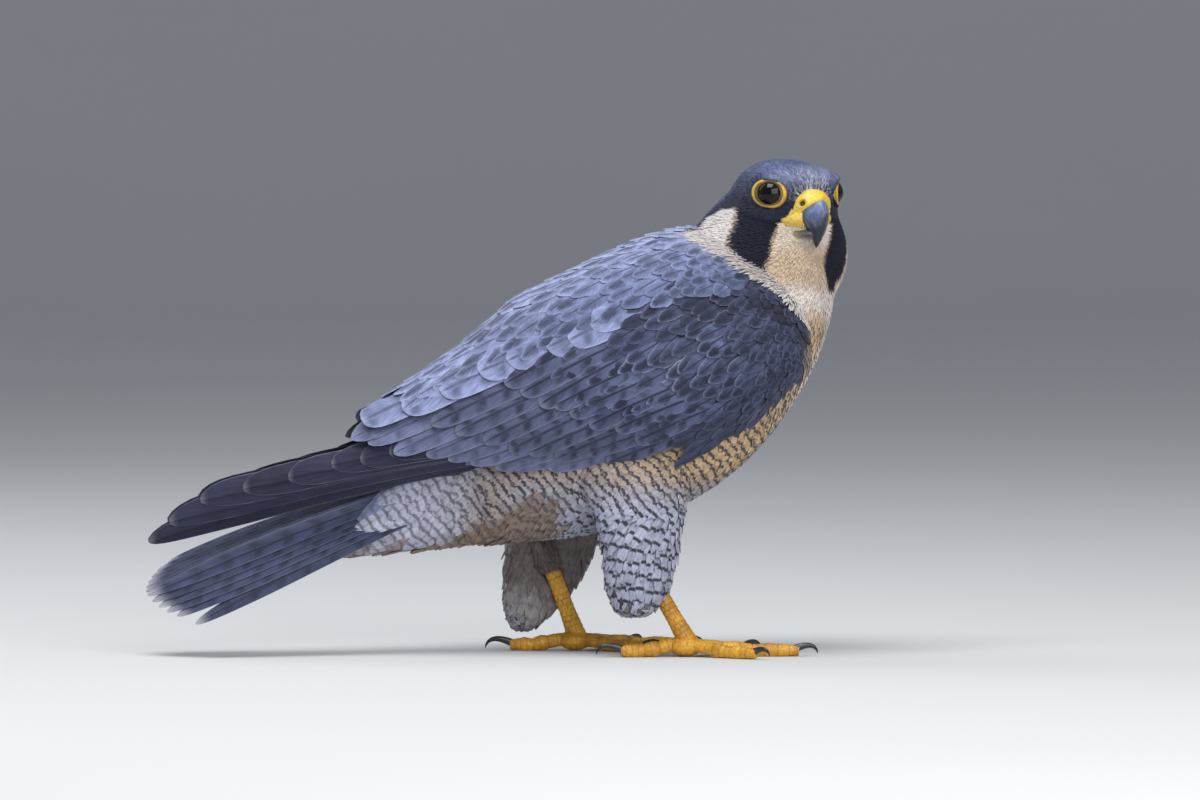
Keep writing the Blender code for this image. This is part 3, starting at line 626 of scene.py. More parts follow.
@dataclass(frozen=True)
class FeatherFinish:
    """Vanes with a ground colour, bars, a dark middle, a shaft and a pale edge, as their tints say."""

    name: str
    roughness: float = 0.62
    sheen: float = 0.25
    barbs: float = 26
    mottle: float = 0.22
    spots: float = 0.0
    sides: float = 1.0
    stripe: float = 0.60

    @staticmethod
    def streak(sheet: Sheet, along: Wire, wide: Wire, seed: Wire) -> Wire:
        """Fine irregular barbs that slant outwards and on from the shaft."""
        place = sheet.node("ShaderNodeCombineXYZ", None, X=along * 26 - wide * 7, Y=wide * 2.2,
                           Z=seed * 60).outputs[0]
        return Wire(sheet, sheet.node("ShaderNodeTexNoise", None, Vector=place, Scale=1.0, Detail=3.0).outputs[0])

    def make(self) -> bpy.types.Material:
        """Builds the material."""
        sheet = Sheet(self.name)
        ground, *_ = sheet.tint("ground")
        mark, *_ = sheet.tint("mark")
        _, bars, middle, fringe, seed = sheet.tint("form")
        _, beat, bend, shaft, edge = sheet.tint("beat")
        across, along = sheet.map("Vane")
        wide = abs(across * 2 - 1)
        count = beat * 20
        wave = abs((along * count + seed - wide * bend).fraction() - 0.5) * 2
        barb = self.streak(sheet, along, wide, seed)
        bar = (wave + (barb - 0.5) * 0.5).ease(self.stripe - 0.2 * self.spots,
            self.stripe + 0.24 + 0.1 * self.spots) * along.ease(0.0, 0.25)
        bar = bar * wide.ease(1.3, 0.9)
        blotch = (wide + (barb - 0.5) * 0.4).ease(0.85, 0.30) * along.ease(0.42, 0.66) * along.ease(0.99, 0.84)
        line = wide.ease(0.16, 0.05)
        rim = (wide * self.sides).most((along - 0.55) * 2.2).ease(edge, edge + 0.16)
        cloud = sheet.noise(160, 4)
        speck = sheet.noise(1300, 2)
        web = wide.ease(0.0, 0.26) * wide.ease(1.0, 0.6) * (cloud.ease(0.36, 0.56) * 0.7 + 0.3)
        colour = sheet.mix(ground, mark, bars * bar * (1 - self.spots + self.spots * web))
        colour = sheet.mix(colour, mark, middle * blotch)
        colour = sheet.mix(colour, mark, shaft * line)
        pale = sheet.mix(ground, (0.92, 0.93, 0.98), fringe * 0.42)
        colour = sheet.mix(colour, pale, (fringe * 1.3 + 0.1) * rim)
        shade = 1 + (cloud - 0.5) * self.mottle * 2.4 + (speck - 0.5) * self.mottle + (barb - 0.5) * self.mottle * 4.2
        grey = sheet.node("ShaderNodeCombineColor", None, Red=shade, Green=shade, Blue=shade).outputs[0]
        colour = sheet.mix(colour, grey, 1.0, "MULTIPLY")
        rows = ((along * self.barbs + wide * self.barbs * 0.35) * math.tau).sine()
        sheet.bump(rows * 0.4 + line * 0.8 + barb * 2, 0.4, 0.00025)
        return sheet.finish(
            Base_Color=colour, Roughness=self.roughness + (speck - 0.5) * 0.2, Sheen_Weight=self.sheen,
            Sheen_Roughness=0.6,
            Specular_IOR_Level=0.14,
        )


@dataclass(frozen=True)
class SkinFinish:
    """The matt surface under the feathers, in the colours of the feathers over it, darkened by a share as painted
    shade under them.
    """

    name: str
    # share of the feathers' colour that is kept: the rest is painted shade under the feathers
    dark: float = 0.5

    def make(self) -> bpy.types.Material:
        """Builds the material."""
        sheet = Sheet(self.name)
        ground, *_ = sheet.tint("ground")
        speck = sheet.noise(900, 3)
        # painted shade: the feathers' colour times that share, with a little random speckle
        shade = self.dark * (0.75 + speck * 0.5)
        grey = sheet.node("ShaderNodeCombineColor", None, Red=shade, Green=shade, Blue=shade).outputs[0]
        sheet.bump(speck, 0.5, 0.0006)
        return sheet.finish(Base_Color=sheet.mix(ground, grey, 1.0, "MULTIPLY"), Roughness=0.9,
                            Specular_IOR_Level=0.15)


@dataclass(frozen=True)
class HornFinish:
    """Bill and claws: a colour at the root that runs to a darker one at the tip, with fine growth lines."""

    name: str
    root: Colour
    tip: Colour
    turn: tuple[float, float] = (0.15, 0.8)
    roughness: float = 0.28

    def make(self) -> bpy.types.Material:
        """Builds the material."""
        sheet = Sheet(self.name)
        _, along = sheet.map("Form")
        cloud, lines = sheet.noise(260, 4), sheet.noise(700, 4, (1, 1, 0.35))
        share = (along + (cloud - 0.5) * 0.5).ease(*self.turn)
        colour = sheet.mix(sheet.mix(self.root, self.tip, share), (0.02, 0.02, 0.025), lines.ease(0.40, 0.75) * 0.55)
        sheet.bump(lines + cloud * 0.6, 0.25, 0.0002)
        return sheet.finish(Base_Color=colour, Roughness=self.roughness + (cloud - 0.5) * 0.22, Coat_Weight=0.12)


@dataclass(frozen=True)
class ScaleFinish:
    """Bare yellow skin with darker seams, worn patches and grime, and painted shade in pits and grooves."""

    name: str
    colour: Colour
    worn: Colour
    dark: Colour
    scale: float = 620
    roughness: float = 0.42
    seams: float = 0.5

    def make(self) -> bpy.types.Material:
        """Builds the material."""
        sheet = Sheet(self.name)
        # The tint skin holds seams, painted shade in pits, and grime mixed with painted shade.
        _, seam, pit, grime_and_shade, _ = sheet.tint("skin")
        place = sheet.node("ShaderNodeTexCoord").outputs["Object"]
        cells = sheet.node("ShaderNodeTexVoronoi", {"feature": "DISTANCE_TO_EDGE"}, Vector=place, Scale=self.scale)
        gap = Wire(sheet, cells.outputs[0]).ease(0.12, 0.0)
        cloud, speck = sheet.noise(130, 4), sheet.noise(1500, 2)
        colour = sheet.mix(self.colour, self.worn, cloud.ease(0.38, 0.66))
        colour = sheet.mix(colour, self.dark, (gap * self.seams + seam * 0.75).most(speck.ease(0.62, 0.75) * 0.5))
        # Grime, and painted shade where the tint says so.
        colour = sheet.mix(colour, self.dark, grime_and_shade * (0.55 + cloud * 0.6))
        # Painted shade: near-black in pits.
        colour = sheet.mix(colour, (0.01, 0.008, 0.006), pit)
        sheet.bump(1 - gap * 0.8 + speck * 0.3, 0.4, 0.0003)
        return sheet.finish(Base_Color=colour, Roughness=self.roughness + (speck - 0.5) * 0.25, Coat_Weight=0.08)


@dataclass(frozen=True)
class EyeFinish:
    """A dark brown iris round a black pupil under a clear wet cornea."""

    name: str

    def make(self) -> bpy.types.Material:
        """Builds the material; the map Form runs from the pupil's pole backwards."""
        sheet = Sheet(self.name)
        across, along = sheet.map("Form")
        rays = (across * math.tau * 46).sine() * 0.5 + 0.5
        cloud = sheet.noise(900, 3)
        iris = sheet.mix((0.010, 0.006, 0.004), (0.004, 0.003, 0.003), rays * cloud)
        colour = sheet.mix((0.001, 0.001, 0.001), iris, along.ease(0.115, 0.135))
        colour = sheet.mix(colour, (0.003, 0.002, 0.002), along.ease(0.2, 0.24))
        return sheet.finish(
            Base_Color=colour, Roughness=0.10 + cloud * 0.02, Specular_IOR_Level=0.0, Coat_Weight=1.0, Coat_IOR=1.36,
            Coat_Roughness=0.02,
        )


@dataclass(frozen=True)
class PlainFinish:
    """The pale floor, with a trace of unevenness."""

    name: str
    colour: Colour

    def make(self) -> bpy.types.Material:
        """Builds the material."""
        sheet = Sheet(self.name)
        cloud = sheet.noise(2, 3)
        paler = tuple(min(1.0, c * 1.05) for c in self.colour)
        return sheet.finish(Base_Color=sheet.mix(self.colour, paler, cloud), Roughness=0.85 + cloud * 0.05)


# Plumage


@dataclass(frozen=True)
class Blade:
    """The outline and cross section of one kind of feather.

    Attributes:
        along: stations from root to tip, as shares of the length.
        width: the share of the half width at each station.
        across: places round the cross section as shares of the half width, first over the top and then back below.
        lift: for each of those places, its height in thicknesses.
        thick: the vane's thickness.
        camber: how much higher the middle lies than the edges, as a share of the half width.
        ragged: how uneven the edges are, as a share of the half width.
    """

    along: tuple[float, ...]
    width: tuple[float, ...]
    across: tuple[float, ...] = (-1, 0, 1, 0)
    lift: tuple[float, ...] = (0, 0.5, 0, -0.5)
    thick: float = 0.3
    camber: float = 0.12
    ragged: float = 0.0


SMALL = Blade((0, 0.35, 0.72, 1), (0.5, 1, 0.8, 0.1), (-1, 0, 1), (0, 0.5, 0), 0.14, 0.10, 0.5)
CONTOUR = Blade((0, 0.22, 0.45, 0.66, 0.82, 0.94, 1), (0.3, 0.66, 0.92, 1, 0.88, 0.55, 0.14), thick=0.24, ragged=0.22)
LEAF = Blade(
    (0, 0.2, 0.38, 0.54, 0.68, 0.8, 0.9, 0.97, 1), (0.4, 0.74, 0.94, 1, 0.92, 0.74, 0.5, 0.26, 0.08),
    (-1, -0.5, 0, 0.5, 1, 0), (0, 0.5, 0.8, 0.5, 0, -0.5), 0.20, 0.10, 0.22,
)
LOOSE = Blade((0, 0.25, 0.5, 0.7, 0.86, 1), (0.35, 0.75, 1, 0.86, 0.52, 0.06), thick=0.2, camber=0.14, ragged=0.5)
SECTION = (-1, -0.52, -0.07, 0, 0.07, 0.52, 1, 0.5, 0, -0.5)
RELIEF = (0, 0.5, 0.5, 1.1, 0.5, 0.5, 0, -0.5, -0.5, -0.5)
FLIGHT = Blade(
    (0, 0.08, 0.16, 0.24, 0.32, 0.4, 0.48, 0.56, 0.64, 0.71, 0.78, 0.84, 0.89, 0.93, 0.96, 0.985, 1),
    (0.5, 0.66, 0.78, 0.86, 0.92, 0.96, 0.99, 1, 1, 0.98, 0.94, 0.87, 0.77, 0.64, 0.48, 0.28, 0.1),
    SECTION, RELIEF, 0.42, 0.10,
)
PINION = Blade(
    FLIGHT.along, (0.5, 0.66, 0.78, 0.86, 0.92, 0.96, 0.99, 1, 1, 1, 0.99, 0.96, 0.9, 0.8, 0.66, 0.45, 0.18),
    SECTION, RELIEF, 0.42, 0.10,
)
POINTED = Blade(
    FLIGHT.along, (0.5, 0.62, 0.72, 0.8, 0.87, 0.93, 0.98, 1, 0.99, 0.95, 0.87, 0.76, 0.65, 0.54, 0.43, 0.29,
                   0.1), SECTION, RELIEF, 0.42, 0.10,
)
ROUND = Blade(
    (0, 0.1, 0.2, 0.3, 0.4, 0.5, 0.6, 0.7, 0.78, 0.85, 0.91, 0.955, 0.985, 1),
    (0.5, 0.66, 0.8, 0.9, 0.96, 1, 1, 1, 0.98, 0.93, 0.83, 0.66, 0.42, 0.16),
    SECTION, RELIEF, 0.4, 0.12,
)


@dataclass
class Paint:
    """The colours and markings of feathers, one row for each.

    Attributes:
        ground: the vane's colour.
        mark: the colour of its markings.
        form: the strength of bars, middle and fringe, and a seed.
        beat: the beat of the bars, their bend, the strength of the shaft and where the fringe starts.
    """

    ground: Array
    mark: Array
    form: Array
    beat: Array

    def spread(self, each: int) -> dict[str, Array]:
        """The rows repeated for the points of each feather, as tints."""
        rows = {"ground": self.ground, "mark": self.mark, "form": self.form, "beat": self.beat}
        return {name: np.repeat(values, each, 0) for name, values in rows.items()}

    @staticmethod
    def plain(count: int, ground: Colour, mark: Colour, form: Point, beat: tuple[float, ...],
              rng: Random, vary: float = 0.12) -> "Paint":
        """One colouring for a row of feathers, with a little variation between them."""
        shade = 1 + (rng.random((count, 1)) - 0.5) * 2 * vary
        seeds = rng.random((count, 1))
        return Paint(np.array(ground) * shade, np.tile(mark, (count, 1)),
                     np.hstack([np.tile(form, (count, 1)), seeds]),
                     np.tile(beat, (count, 1)))


class Plumage:
    """The markings of the whole bird as functions of position, shared by the skin and the feathers."""

    DARK = (0.010, 0.011, 0.024)
    CROWN, FOREHEAD, NAPE = (0.105, 0.134, 0.270), (0.29, 0.33, 0.54), (0.10, 0.122, 0.255)
    WHITE, BUFF, BIB = (0.60, 0.57, 0.56), (0.58, 0.45, 0.33), (0.78, 0.71, 0.67)
    BELLY, THIGH, VENT, FLUFF = (0.38, 0.32, 0.30), (0.40, 0.42, 0.54), (0.42, 0.43, 0.54), (0.21, 0.140, 0.085)
    RUMP, BAR = (0.22, 0.26, 0.42), (0.045, 0.045, 0.062)

    def __init__(self, head: Head) -> None:
        """Keeps the head's axes."""
        self.head = head

    def body(self, points: Array, normals: Array, rng: Random) -> Paint:
        """The plumage of head, trunk, thighs and tail coverts, with painted shade on the insides of the thighs.

        Args:
            points: the feathers' roots or the skin's points.
            normals: the outward normals there.
            rng: the random numbers.

        Returns:
            One row of paint for each point.
        """
        x, y, z = points.T
        count = len(points)
        wobble = ripple(points, 4.2)
        own = self.head.into(points)
        ahead, left, high = own.T
        high = high + wobble * 0.9
        turn = np.degrees(np.arctan2(np.abs(left), ahead)) + wobble * 2.2
        is_left = left > 0

        # Under parts
        ground = blend(np.tile(self.BUFF, (count, 1)), self.BIB, ease(203, 190, z))
        ground = blend(ground, self.BELLY, ease(150, 118, z))
        ground = blend(ground, (0.64, 0.45, 0.25),
            ease(20, 34, np.abs(y) + ease(95, 125, x) * 14) * ease(188, 174, z) * ease(84, 110, z)
            * ease(40, 110, x) * 0.9)
        mark = np.tile(self.BAR, (count, 1))
        bars = ease(146, 122, z) * 0.95
        middle = ease(182, 172, z) * ease(116, 134, z) * 0.95 * (rng.random(count) > 0.4)
        fringe = 0.15 + 0 * x
        shaft = ease(180, 168, z) * 0.28
        beat = np.full(count, 0.10)
        under = ease(0, -8, z - np.interp(x, (-20, 0, 20, 60), (70, 78, 92, 92)) + 3 * wobble) * ease(46, 34,
            x) * ease(-88, -74, x)
        under = under * (1 - ease(8, 15, y) * ease(86, 76, z) * ease(2, 10, x))
        # Painted shade: where the thighs turn in towards each other, their feathers are darkened and lose most of
        # their bars.
        inner = ease(0.15, -0.25, normals[:, 1] * np.sign(y) + 0.1 * wobble) * ease(90, 76, z) * ease(0, 14, x)
        tail = ease(4, -22, x)
        thigh = ease(102, 82, z) * ease(2, 22, x)
        ground = blend(blend(ground, self.THIGH, thigh), self.VENT, tail)
        ground = blend(ground, self.FLUFF, 0.85 * under)
        ground = blend(ground, blend(np.tile((0.20, 0.17, 0.16), (count, 1)), (0.42, 0.41, 0.43),
            ease(50, 30, z)), inner)
        bars = np.maximum(bars * (1 - 0.35 * tail), thigh) * (1 - 0.35 * under) * (1 - 0.75 * inner)
        heel = ease(30, 24, z) * ease(78, 70, x) * (y < 0)
        ground = blend(ground, (0.06, 0.06, 0.08), heel)
        # Upper parts
        back = ease(0.12, 0.38, normals[:, 2]) * ease(122, 108, x) * ease(0, 10,
            z - np.interp(x, (-90, -15, 40, 100), (50, 96, 128, 150)))
        ground = blend(ground, self.RUMP, back)
        bars = bars * (1 - back * 0.55)
        # Head
        rear = np.interp(high, (-17.5, -14.4, -9.5, -5.8, -4.1), (99, 102, 105.7, 97.6, 91))
        outer = np.where(
            is_left,
            np.interp(high, (-41, -39, -33, -24, -14, -7, -2), (28, 41, 45, 51, 58, 66, 80)),
            np.interp(high, (-37, -35, -31, -27, -24, -20, -16, -11, -7, -2),
                      (42.5, 49, 54, 60, 66, 70, 72, 74, 78, 88)),
        )
        inner = np.where(
            is_left,
            np.interp(high, (-41, -39, -33, -22, -14, -6), (28, 22, 17, 17, 27, 37)),
            np.interp(high, (-37, -28, -8), (42, 43, 39)),
        )
        near_head = ease(66, 50, np.linalg.norm(own + np.array((6.0, 0, 0)), axis=1))
        upper = ease(-5.2, -3.2, high + 3.0 * ease(12, 16, ahead))
        behind = ease(rear - 3, rear + 3, turn)
        low_end = np.where(is_left, -41.0, -36.5)
        stripe = ease(inner - 2.5, inner + 2.5, turn) * ease(outer + 2.5, outer - 2.5, turn) * ease(low_end - 2,
            low_end + 1, high)
        helmet = np.maximum(upper, behind * ease(-42, -30, high + 10 * behind))
        slate = blend(np.tile(self.CROWN, (count, 1)), self.FOREHEAD, ease(8, 18, ahead) * ease(6, 12, high))
        slate = blend(slate, self.NAPE, ease(92, 118, turn) * ease(8, -6, high))
        eye = np.linalg.norm(own - np.where(left[:, None] > 0, 1, -1) * np.array((0, 21.9, 0))
                             - np.array((13.8, 0, 5.0)), axis=1)
        low = ease(11, 1, high + 0.05 * (turn - 60))
        slate = blend(slate, (0.060, 0.072, 0.135), ease(17, 8, high) * ease(128, 104, turn) * ease(16, 6, ahead))
        slate = blend(slate, self.DARK, np.maximum(ease(13.5, 9.5, eye) * 0.55, low * ease(126, 104, turn) * 0.9))
        bill = np.linalg.norm((own - np.array((23.0, 0, 1.0))) * np.array((1, 1, 0.8)), axis=1)
        slate = blend(slate, (0.60, 0.60, 0.66),
                      ease(16, 9, bill) * ease(1, 7, high) * (rng.random(count) > 0.45) * 0.75)
        white = ease(outer - 2, outer + 3, turn) * ease(-34, -24, high)
        plain = blend(ground, self.WHITE, white * near_head)
        throat = ease(inner + 2, inner - 4, turn) * ease(-44, -34, high)
        plain = blend(plain, blend(np.tile(self.BUFF, (count, 1)), (0.80, 0.70, 0.61), ease(-25, -15, high)),
                      throat * near_head * 0.9)
        face = blend(blend(plain, self.DARK, stripe), slate, helmet)
        over = near_head * ease(178, 186, z)
        ground = blend(ground, face, over)
        dark_face = np.clip(over * np.maximum(helmet, stripe), 0, 1)
        bars = bars * (1 - over)
        middle = np.where(over > 0.5, 0.55 * helmet * (1 - stripe), middle)
        shaft = np.where(over > 0.5, 0.7 * helmet + 0.25 * white * ease(-9, -5, high), shaft)
        fringe = np.where(over > 0.5, 0.05 + 0.12 * helmet, fringe)
        mark = blend(mark, np.array((0.03, 0.035, 0.06)), dark_face)
        shade = 1 + (rng.random((count, 1)) - 0.5) * (0.26 + 0.5 * (over * helmet)[:, None]) + 0.22 * (over
            * helmet * ripple(points, 1.6))[:, None]
        form = np.stack([bars, middle, fringe, rng.random(count)], -1)
        beats = np.stack([beat, 0.22 - 0.17 * thigh, shaft, np.full(count, 0.72)], -1)
        return Paint(ground * shade, mark, form, beats)

    @staticmethod
    def mantle(points: Array, rng: Random) -> Paint:
        """Pale blue-grey upper back with dark shafts and soft dark middles, darker lower down; the pale middle of the
        back is partly painted highlight.
        """
        x, y, _ = points.T
        count = len(x)
        # Paler along the middle of the back than down its sides: partly the feathers' own grey, partly painted
        # highlight from the light above.
        down = ease(4, 50, np.abs(y))
        light = blend(np.tile((0.34, 0.385, 0.61), (count, 1)), (0.147, 0.176, 0.322), down)
        light = blend(light, (0.29, 0.33, 0.54), ease(40, -10, x))
        light = blend(light, (0.12, 0.145, 0.26), ease(104, 132, x) * down)
        shade = 1 + (rng.random((count, 1)) - 0.5) * 0.3 + ripple(points, 9)[:, None] * 0.16
        middle = np.clip((0.62 + 0.15 * down) * (0.35 + rng.random(count) * 1.0), 0, 1)
        form = np.stack([0.12 + 0 * x, middle, 0.12 + 0.22 * rng.random(count), rng.random(count)], -1)
        return Paint(light * shade, np.tile((0.050, 0.060, 0.115), (count, 1)), form,
                     np.tile((0.10, 0.3, 0.8, 0.78), (count, 1)))

    @staticmethod
    def coverts(points: Array, rng: Random) -> Paint:
        """Dark slate wing coverts with pale edges, darker and plainer towards the lower edge, buff on the bend, with
        painted shadow under the scapulars' hem and under the neck's feathers.
        """
        x, _, z = points.T
        count = len(x)
        low = ease(142, 120, z) * ease(60, 90, x)
        # Painted shadow: a dark band just under the scapulars' hem.
        hem_shadow = np.exp(-(((z - track(Wings.HEM, x) + 2) / 5) ** 2)) * ease(46, 60, x) * ease(134, 122, x)
        front = ease(104, 146, x)
        ground = blend(np.tile((0.084, 0.100, 0.190), (count, 1)), (0.056, 0.066, 0.124),
                       np.maximum(low, front * 0.8))
        ground = blend(ground, (0.02, 0.023, 0.045), hem_shadow * 0.8)
        bend = ease(154.5, 157.5, x) * ease(178, 168, z)
        ground = blend(ground, (0.42, 0.33, 0.24), bend * 0.9)
        # Painted shadow: a near-black band just under the neck's feathers where they hang over the wing, also without
        # pale fringes.
        gap = np.exp(-(((z - track(Wings.COLLAR, x) + 3.5) / 3.0) ** 2)) * ease(124, 138, x)
        ground = blend(ground, (0.012, 0.012, 0.020), gap * 0.9)
        shade = 1 + (rng.random((count, 1)) - 0.5) * 0.5 + ripple(points, 8)[:, None] * 0.2
        middle = np.clip(1.0 - 0.45 * low - 0.6 * bend, 0, 1) * (0.5 + 0.6 * rng.random(count))
        fringe = (0.42 - 0.30 * np.maximum(low, 0.6 * front)) * rng.random(count) * 1.3 * (1 - gap)
        form = np.stack([0.1 + 0 * x, middle, fringe, rng.random(count)], -1)
        return Paint(ground * shade, np.tile((0.022, 0.025, 0.050), (count, 1)), form,
                     np.tile((0.10, 0.3, 0.85, 0.80), (count, 1)))


def lay(surface: Surface, roots: Array, lie: Array, length: Array, width: Array, low: Array, high: Array,
        blade: Blade,
        rng: Random) -> Array:
    """Feathers laid over a surface.

    From its root each feather steps along the surface, keeping its course in the surface's plane. Its height over
    the surface rises as the 1.3rd power of the share from root to tip, so a tip lies over the roots behind it.

    Args:
        surface: what the feathers lie on.
        roots: where they start.
        lie: which way they point.
        length: their lengths.
        width: their half widths.
        low: height over the surface at the root.
        high: height at the tip.
        blade: their outline and section.
        rng: the random numbers.

    Returns:
        Points, feathers by stations by places round the section by three.
    """
    here, normal = surface.nearest(roots)
    course = flat(lie, normal)
    rows, last = [], 0.0
    for share, narrow in zip(blade.along, blade.width):
        if share > last:
            here, normal = surface.nearest(here + course * ((share - last) * length)[:, None])
            course = flat(course, normal)
            last = share
        side = np.cross(normal, course)
        height = low + (high - low) * share**1.3
        half = narrow * width
        edges = {}
        for t in sorted(set(blade.across)):
            if abs(t) < 0.6:
                edges[t] = (here + side * (t * half)[:, None], normal)
            else:
                torn = 1 + blade.ragged * (rng.random(len(half)) - 0.6)
                edges[t] = surface.nearest(here + side * (t * half * torn)[:, None])
        ring = []
        for t, lift in zip(blade.across, blade.lift):
            base, out = edges[t]
            rise = height + lift * blade.thick + blade.camber * half * (1 - t * t) * (0.4 + 0.6 * share)
            ring.append(base + out * (rise * (1 if abs(t) < 0.6 else 0.85))[:, None])
        rows.append(np.stack(ring, 1))
    return np.stack(rows, 1)


def vane_map(count: int, blade: Blade) -> Array:
    """The map of feathers' own widths and lengths, for each of their points."""
    across, along = np.meshgrid(np.array(blade.across) * 0.5 + 0.5, blade.along)
    return np.tile(np.stack([across, along], -1).reshape(-1, 2), (count, 1))


def patch_map(places: Array, count: int, blade: Blade, size: float = 0.003) -> Array:
    """The baking map: each feather is a small patch at its root's place on the skin's own unwrap.

    Args:
        places: a place in the unit square for each feather.
        count: how many feathers.
        blade: their outline.
        size: the patch's width.

    Returns:
        The map, for each point.
    """
    own = vane_map(count, blade).reshape(count, -1, 2) - 0.5
    return np.clip(places[:, None] + own * size, 0, 1).reshape(-1, 2)


def coat(grids: Array, blade: Blade, paint: Paint, places: Array, size: float = 0.003) -> Shape:
    """Feathers' points as one shape, with their maps and tints."""
    count, stations, around = grids.shape[:3]
    shape = Shape.many(grids)
    shape.maps = {"Vane": vane_map(count, blade), "OFBake": patch_map(places, count, blade, size)}
    return shape.tinted(**paint.spread(stations * around))


# The dressed parts


@dataclass
class Body:
    """Skin of head, neck, trunk, thighs and tail coverts in one piece, and the small feathers over it.

    Attributes:
        grain: size of the skin's cells.
        sections: the tail coverts' sections: back (x, z), front (x, z), half width.
    """

    head: Head
    lie: Lie
    cloak: Cloak
    plumage: Plumage
    grain: float = 1.5
    sections: tuple[tuple[float, ...], ...] = (
        (-86, 58, -87, 51, 4), (-73, 73, -78, 51.5, 9), (-56, 92, -62, 52.5, 13),
        (-36, 112, -42, 54, 14.5), (-15, 132, -18, 56.5, 19), (6, 150, 10, 58.5, 27),
    )

    def coverts(self) -> Shape:
        """The loft of the tail coverts through superellipses between back and front points."""
        turn = np.linspace(0, 2 * math.pi, 48, endpoint=False)
        c, s = (np.sign(f(turn)) * np.abs(f(turn)) ** (2 / 2.25) for f in (np.cos, np.sin))
        rows = []
        for back_x, back_z, front_x, front_z, wide in smooth_rows(self.sections, 24):
            back, front = np.array((back_x, 0, back_z)), np.array((front_x, 0, front_z))
            rows.append((back + front) / 2 + c[:, None] * (back - front) / 2 + s[:, None] * np.array((0, wide, 0)))
        return Shape.one(np.array(rows))

    def skin(self, frame: dict[str, Any]) -> Surface:
        """Copies of the solids' meshes and the coverts blended at one grain, then moved in by the coat's depth.

        Args:
            frame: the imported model.

        Returns:
            The skin's surface.
        """
        work = bmesh.new()
        for name in ("torso", "neck", "head", "thigh_right", "thigh_left"):
            part = bmesh.new()
            part.from_mesh(frame["nodes"][name].data)
            bmesh.ops.remove_doubles(part, verts=part.verts, dist=1e-6)
            mesh = bpy.data.meshes.new("part")
            part.to_mesh(mesh)
            part.free()
            work.from_mesh(mesh)
            bpy.data.meshes.remove(mesh)
        loft = self.coverts()
        corners = [work.verts.new(p) for p in (loft.points * MM).tolist()]
        for quad in loft.quads.tolist():
            work.faces.new([corners[i] for i in quad])
        mesh = bpy.data.meshes.new("blend")
        work.to_mesh(mesh)
        work.free()
        made = bpy.data.objects.new("blend", mesh)
        bpy.context.scene.collection.objects.link(made)
        remesh = made.modifiers.new("blend", "REMESH")
        remesh.mode, remesh.voxel_size = "VOXEL", self.grain * MM
        smooth = made.modifiers.new("smooth", "SMOOTH")
        smooth.factor, smooth.iterations = 0.5, 5
        bpy.context.view_layer.update()
        result = bpy.data.meshes.new_from_object(made.evaluated_get(bpy.context.evaluated_depsgraph_get()))
        bpy.data.objects.remove(made)
        bpy.data.meshes.remove(mesh)
        points = np.empty(len(result.vertices) * 3, np.float32)
        result.vertices.foreach_get("co", points)
        corners = np.empty(len(result.loops), np.int32)
        result.loops.foreach_get("vertex_index", corners)
        quads = corners.reshape(-1, 4)
        points = points.reshape(-1, 3).astype(float) / MM
        bpy.data.meshes.remove(result)
        points, quads = self.outer_shell(points, quads)
        outer = Surface(points, quads)
        return Surface(points - outer.normals * self.depth(points)[:, None] + self.brows(points), quads)

    def brows(self, points: Array) -> Array:
        """How far the ridges over the eyes and the lores before them stand out: two bells about each eye."""
        own = self.head.into(points)
        move = np.zeros_like(own)
        for side in Side:
            middle, facing, level, upward = self.head.eye(side)
            away = own - middle
            along, above, out = away @ level, away @ upward, away @ facing
            forward = along * np.sign(level[0])
            near = ease(16, 8, np.abs(out))
            ridge = np.exp(-(((forward + 1.0) / 10) ** 2) - ((above - 9.8 + 0.12 * forward) / 3.0) ** 2) * near
            lore = np.exp(-(((forward - 12) / 3.0) ** 2) - ((above + 1) / 6) ** 2) * near
            move += (2.9 * ridge + 1.0 * lore)[:, None] * unit(facing * np.array((0.6, 1, 0)))
        return self.head.turned(move)

    @staticmethod
    def outer_shell(points: Array, quads: Array) -> tuple[Array, Array]:
        """The largest of the mesh's separate surfaces: labels spread over the faces until none changes."""
        label = np.arange(len(points))
        while True:
            low = label[quads].min(1)
            new = label.copy()
            np.minimum.at(new, quads.ravel(), np.repeat(low, 4))
            new = new[new]
            if (new == label).all():
                break
            label = new
        names, sizes = np.unique(label, return_counts=True)
        kept = label == names[sizes.argmax()]
        index = np.cumsum(kept) - 1
        faces = quads[kept[quads].all(1)]
        return points[kept], index[faces]

    def length(self, points: Array) -> Array:
        """The feathers' length: shortest by the bill, longest on thighs and tail coverts."""
        x, _, z = points.T
        own = self.head.into(points)
        far = np.linalg.norm(own - np.array((24.0, 0, -2.0)), axis=1)
        face = np.interp(far, (0, 8, 16, 28, 42, 60, 80), (1.9, 2.5, 3.2, 4.6, 6.2, 8.8, 12.5))
        trunk = np.interp(z, (60, 110, 160, 200), (20.0, 20, 17, 12.5))
        size = np.minimum(face, trunk)
        size = np.maximum(size, np.interp(x, (-60, -20, 10), (30, 24, 0)))
        thigh = ease(90, 70, z) * ease(0, 14, x)
        return size * (1 - thigh) + 18 * thigh

    def depth(self, points: Array) -> Array:
        """How far the skin lies under the solids' surface."""
        return np.interp(self.length(points), (2, 5, 12, 20), (0.55, 1.0, 2.1, 2.4))

    def bare(self, points: Array) -> Array:
        """Where no feather grows: on the eyelids, under the bill's cere and under the wings."""
        own = self.head.into(points)
        bare = self.in_bill(own)
        for side in Side:
            middle, facing, level, upward = self.head.eye(side)
            away = own - middle
            off = np.hypot(away @ level / 9.5, away @ upward / np.where(away @ upward > 0, 7.0, 7.4))
            bare |= (off < 1) & (np.abs(away @ facing) < 14)
        return bare | (self.cloak.over(points) > 8.0)

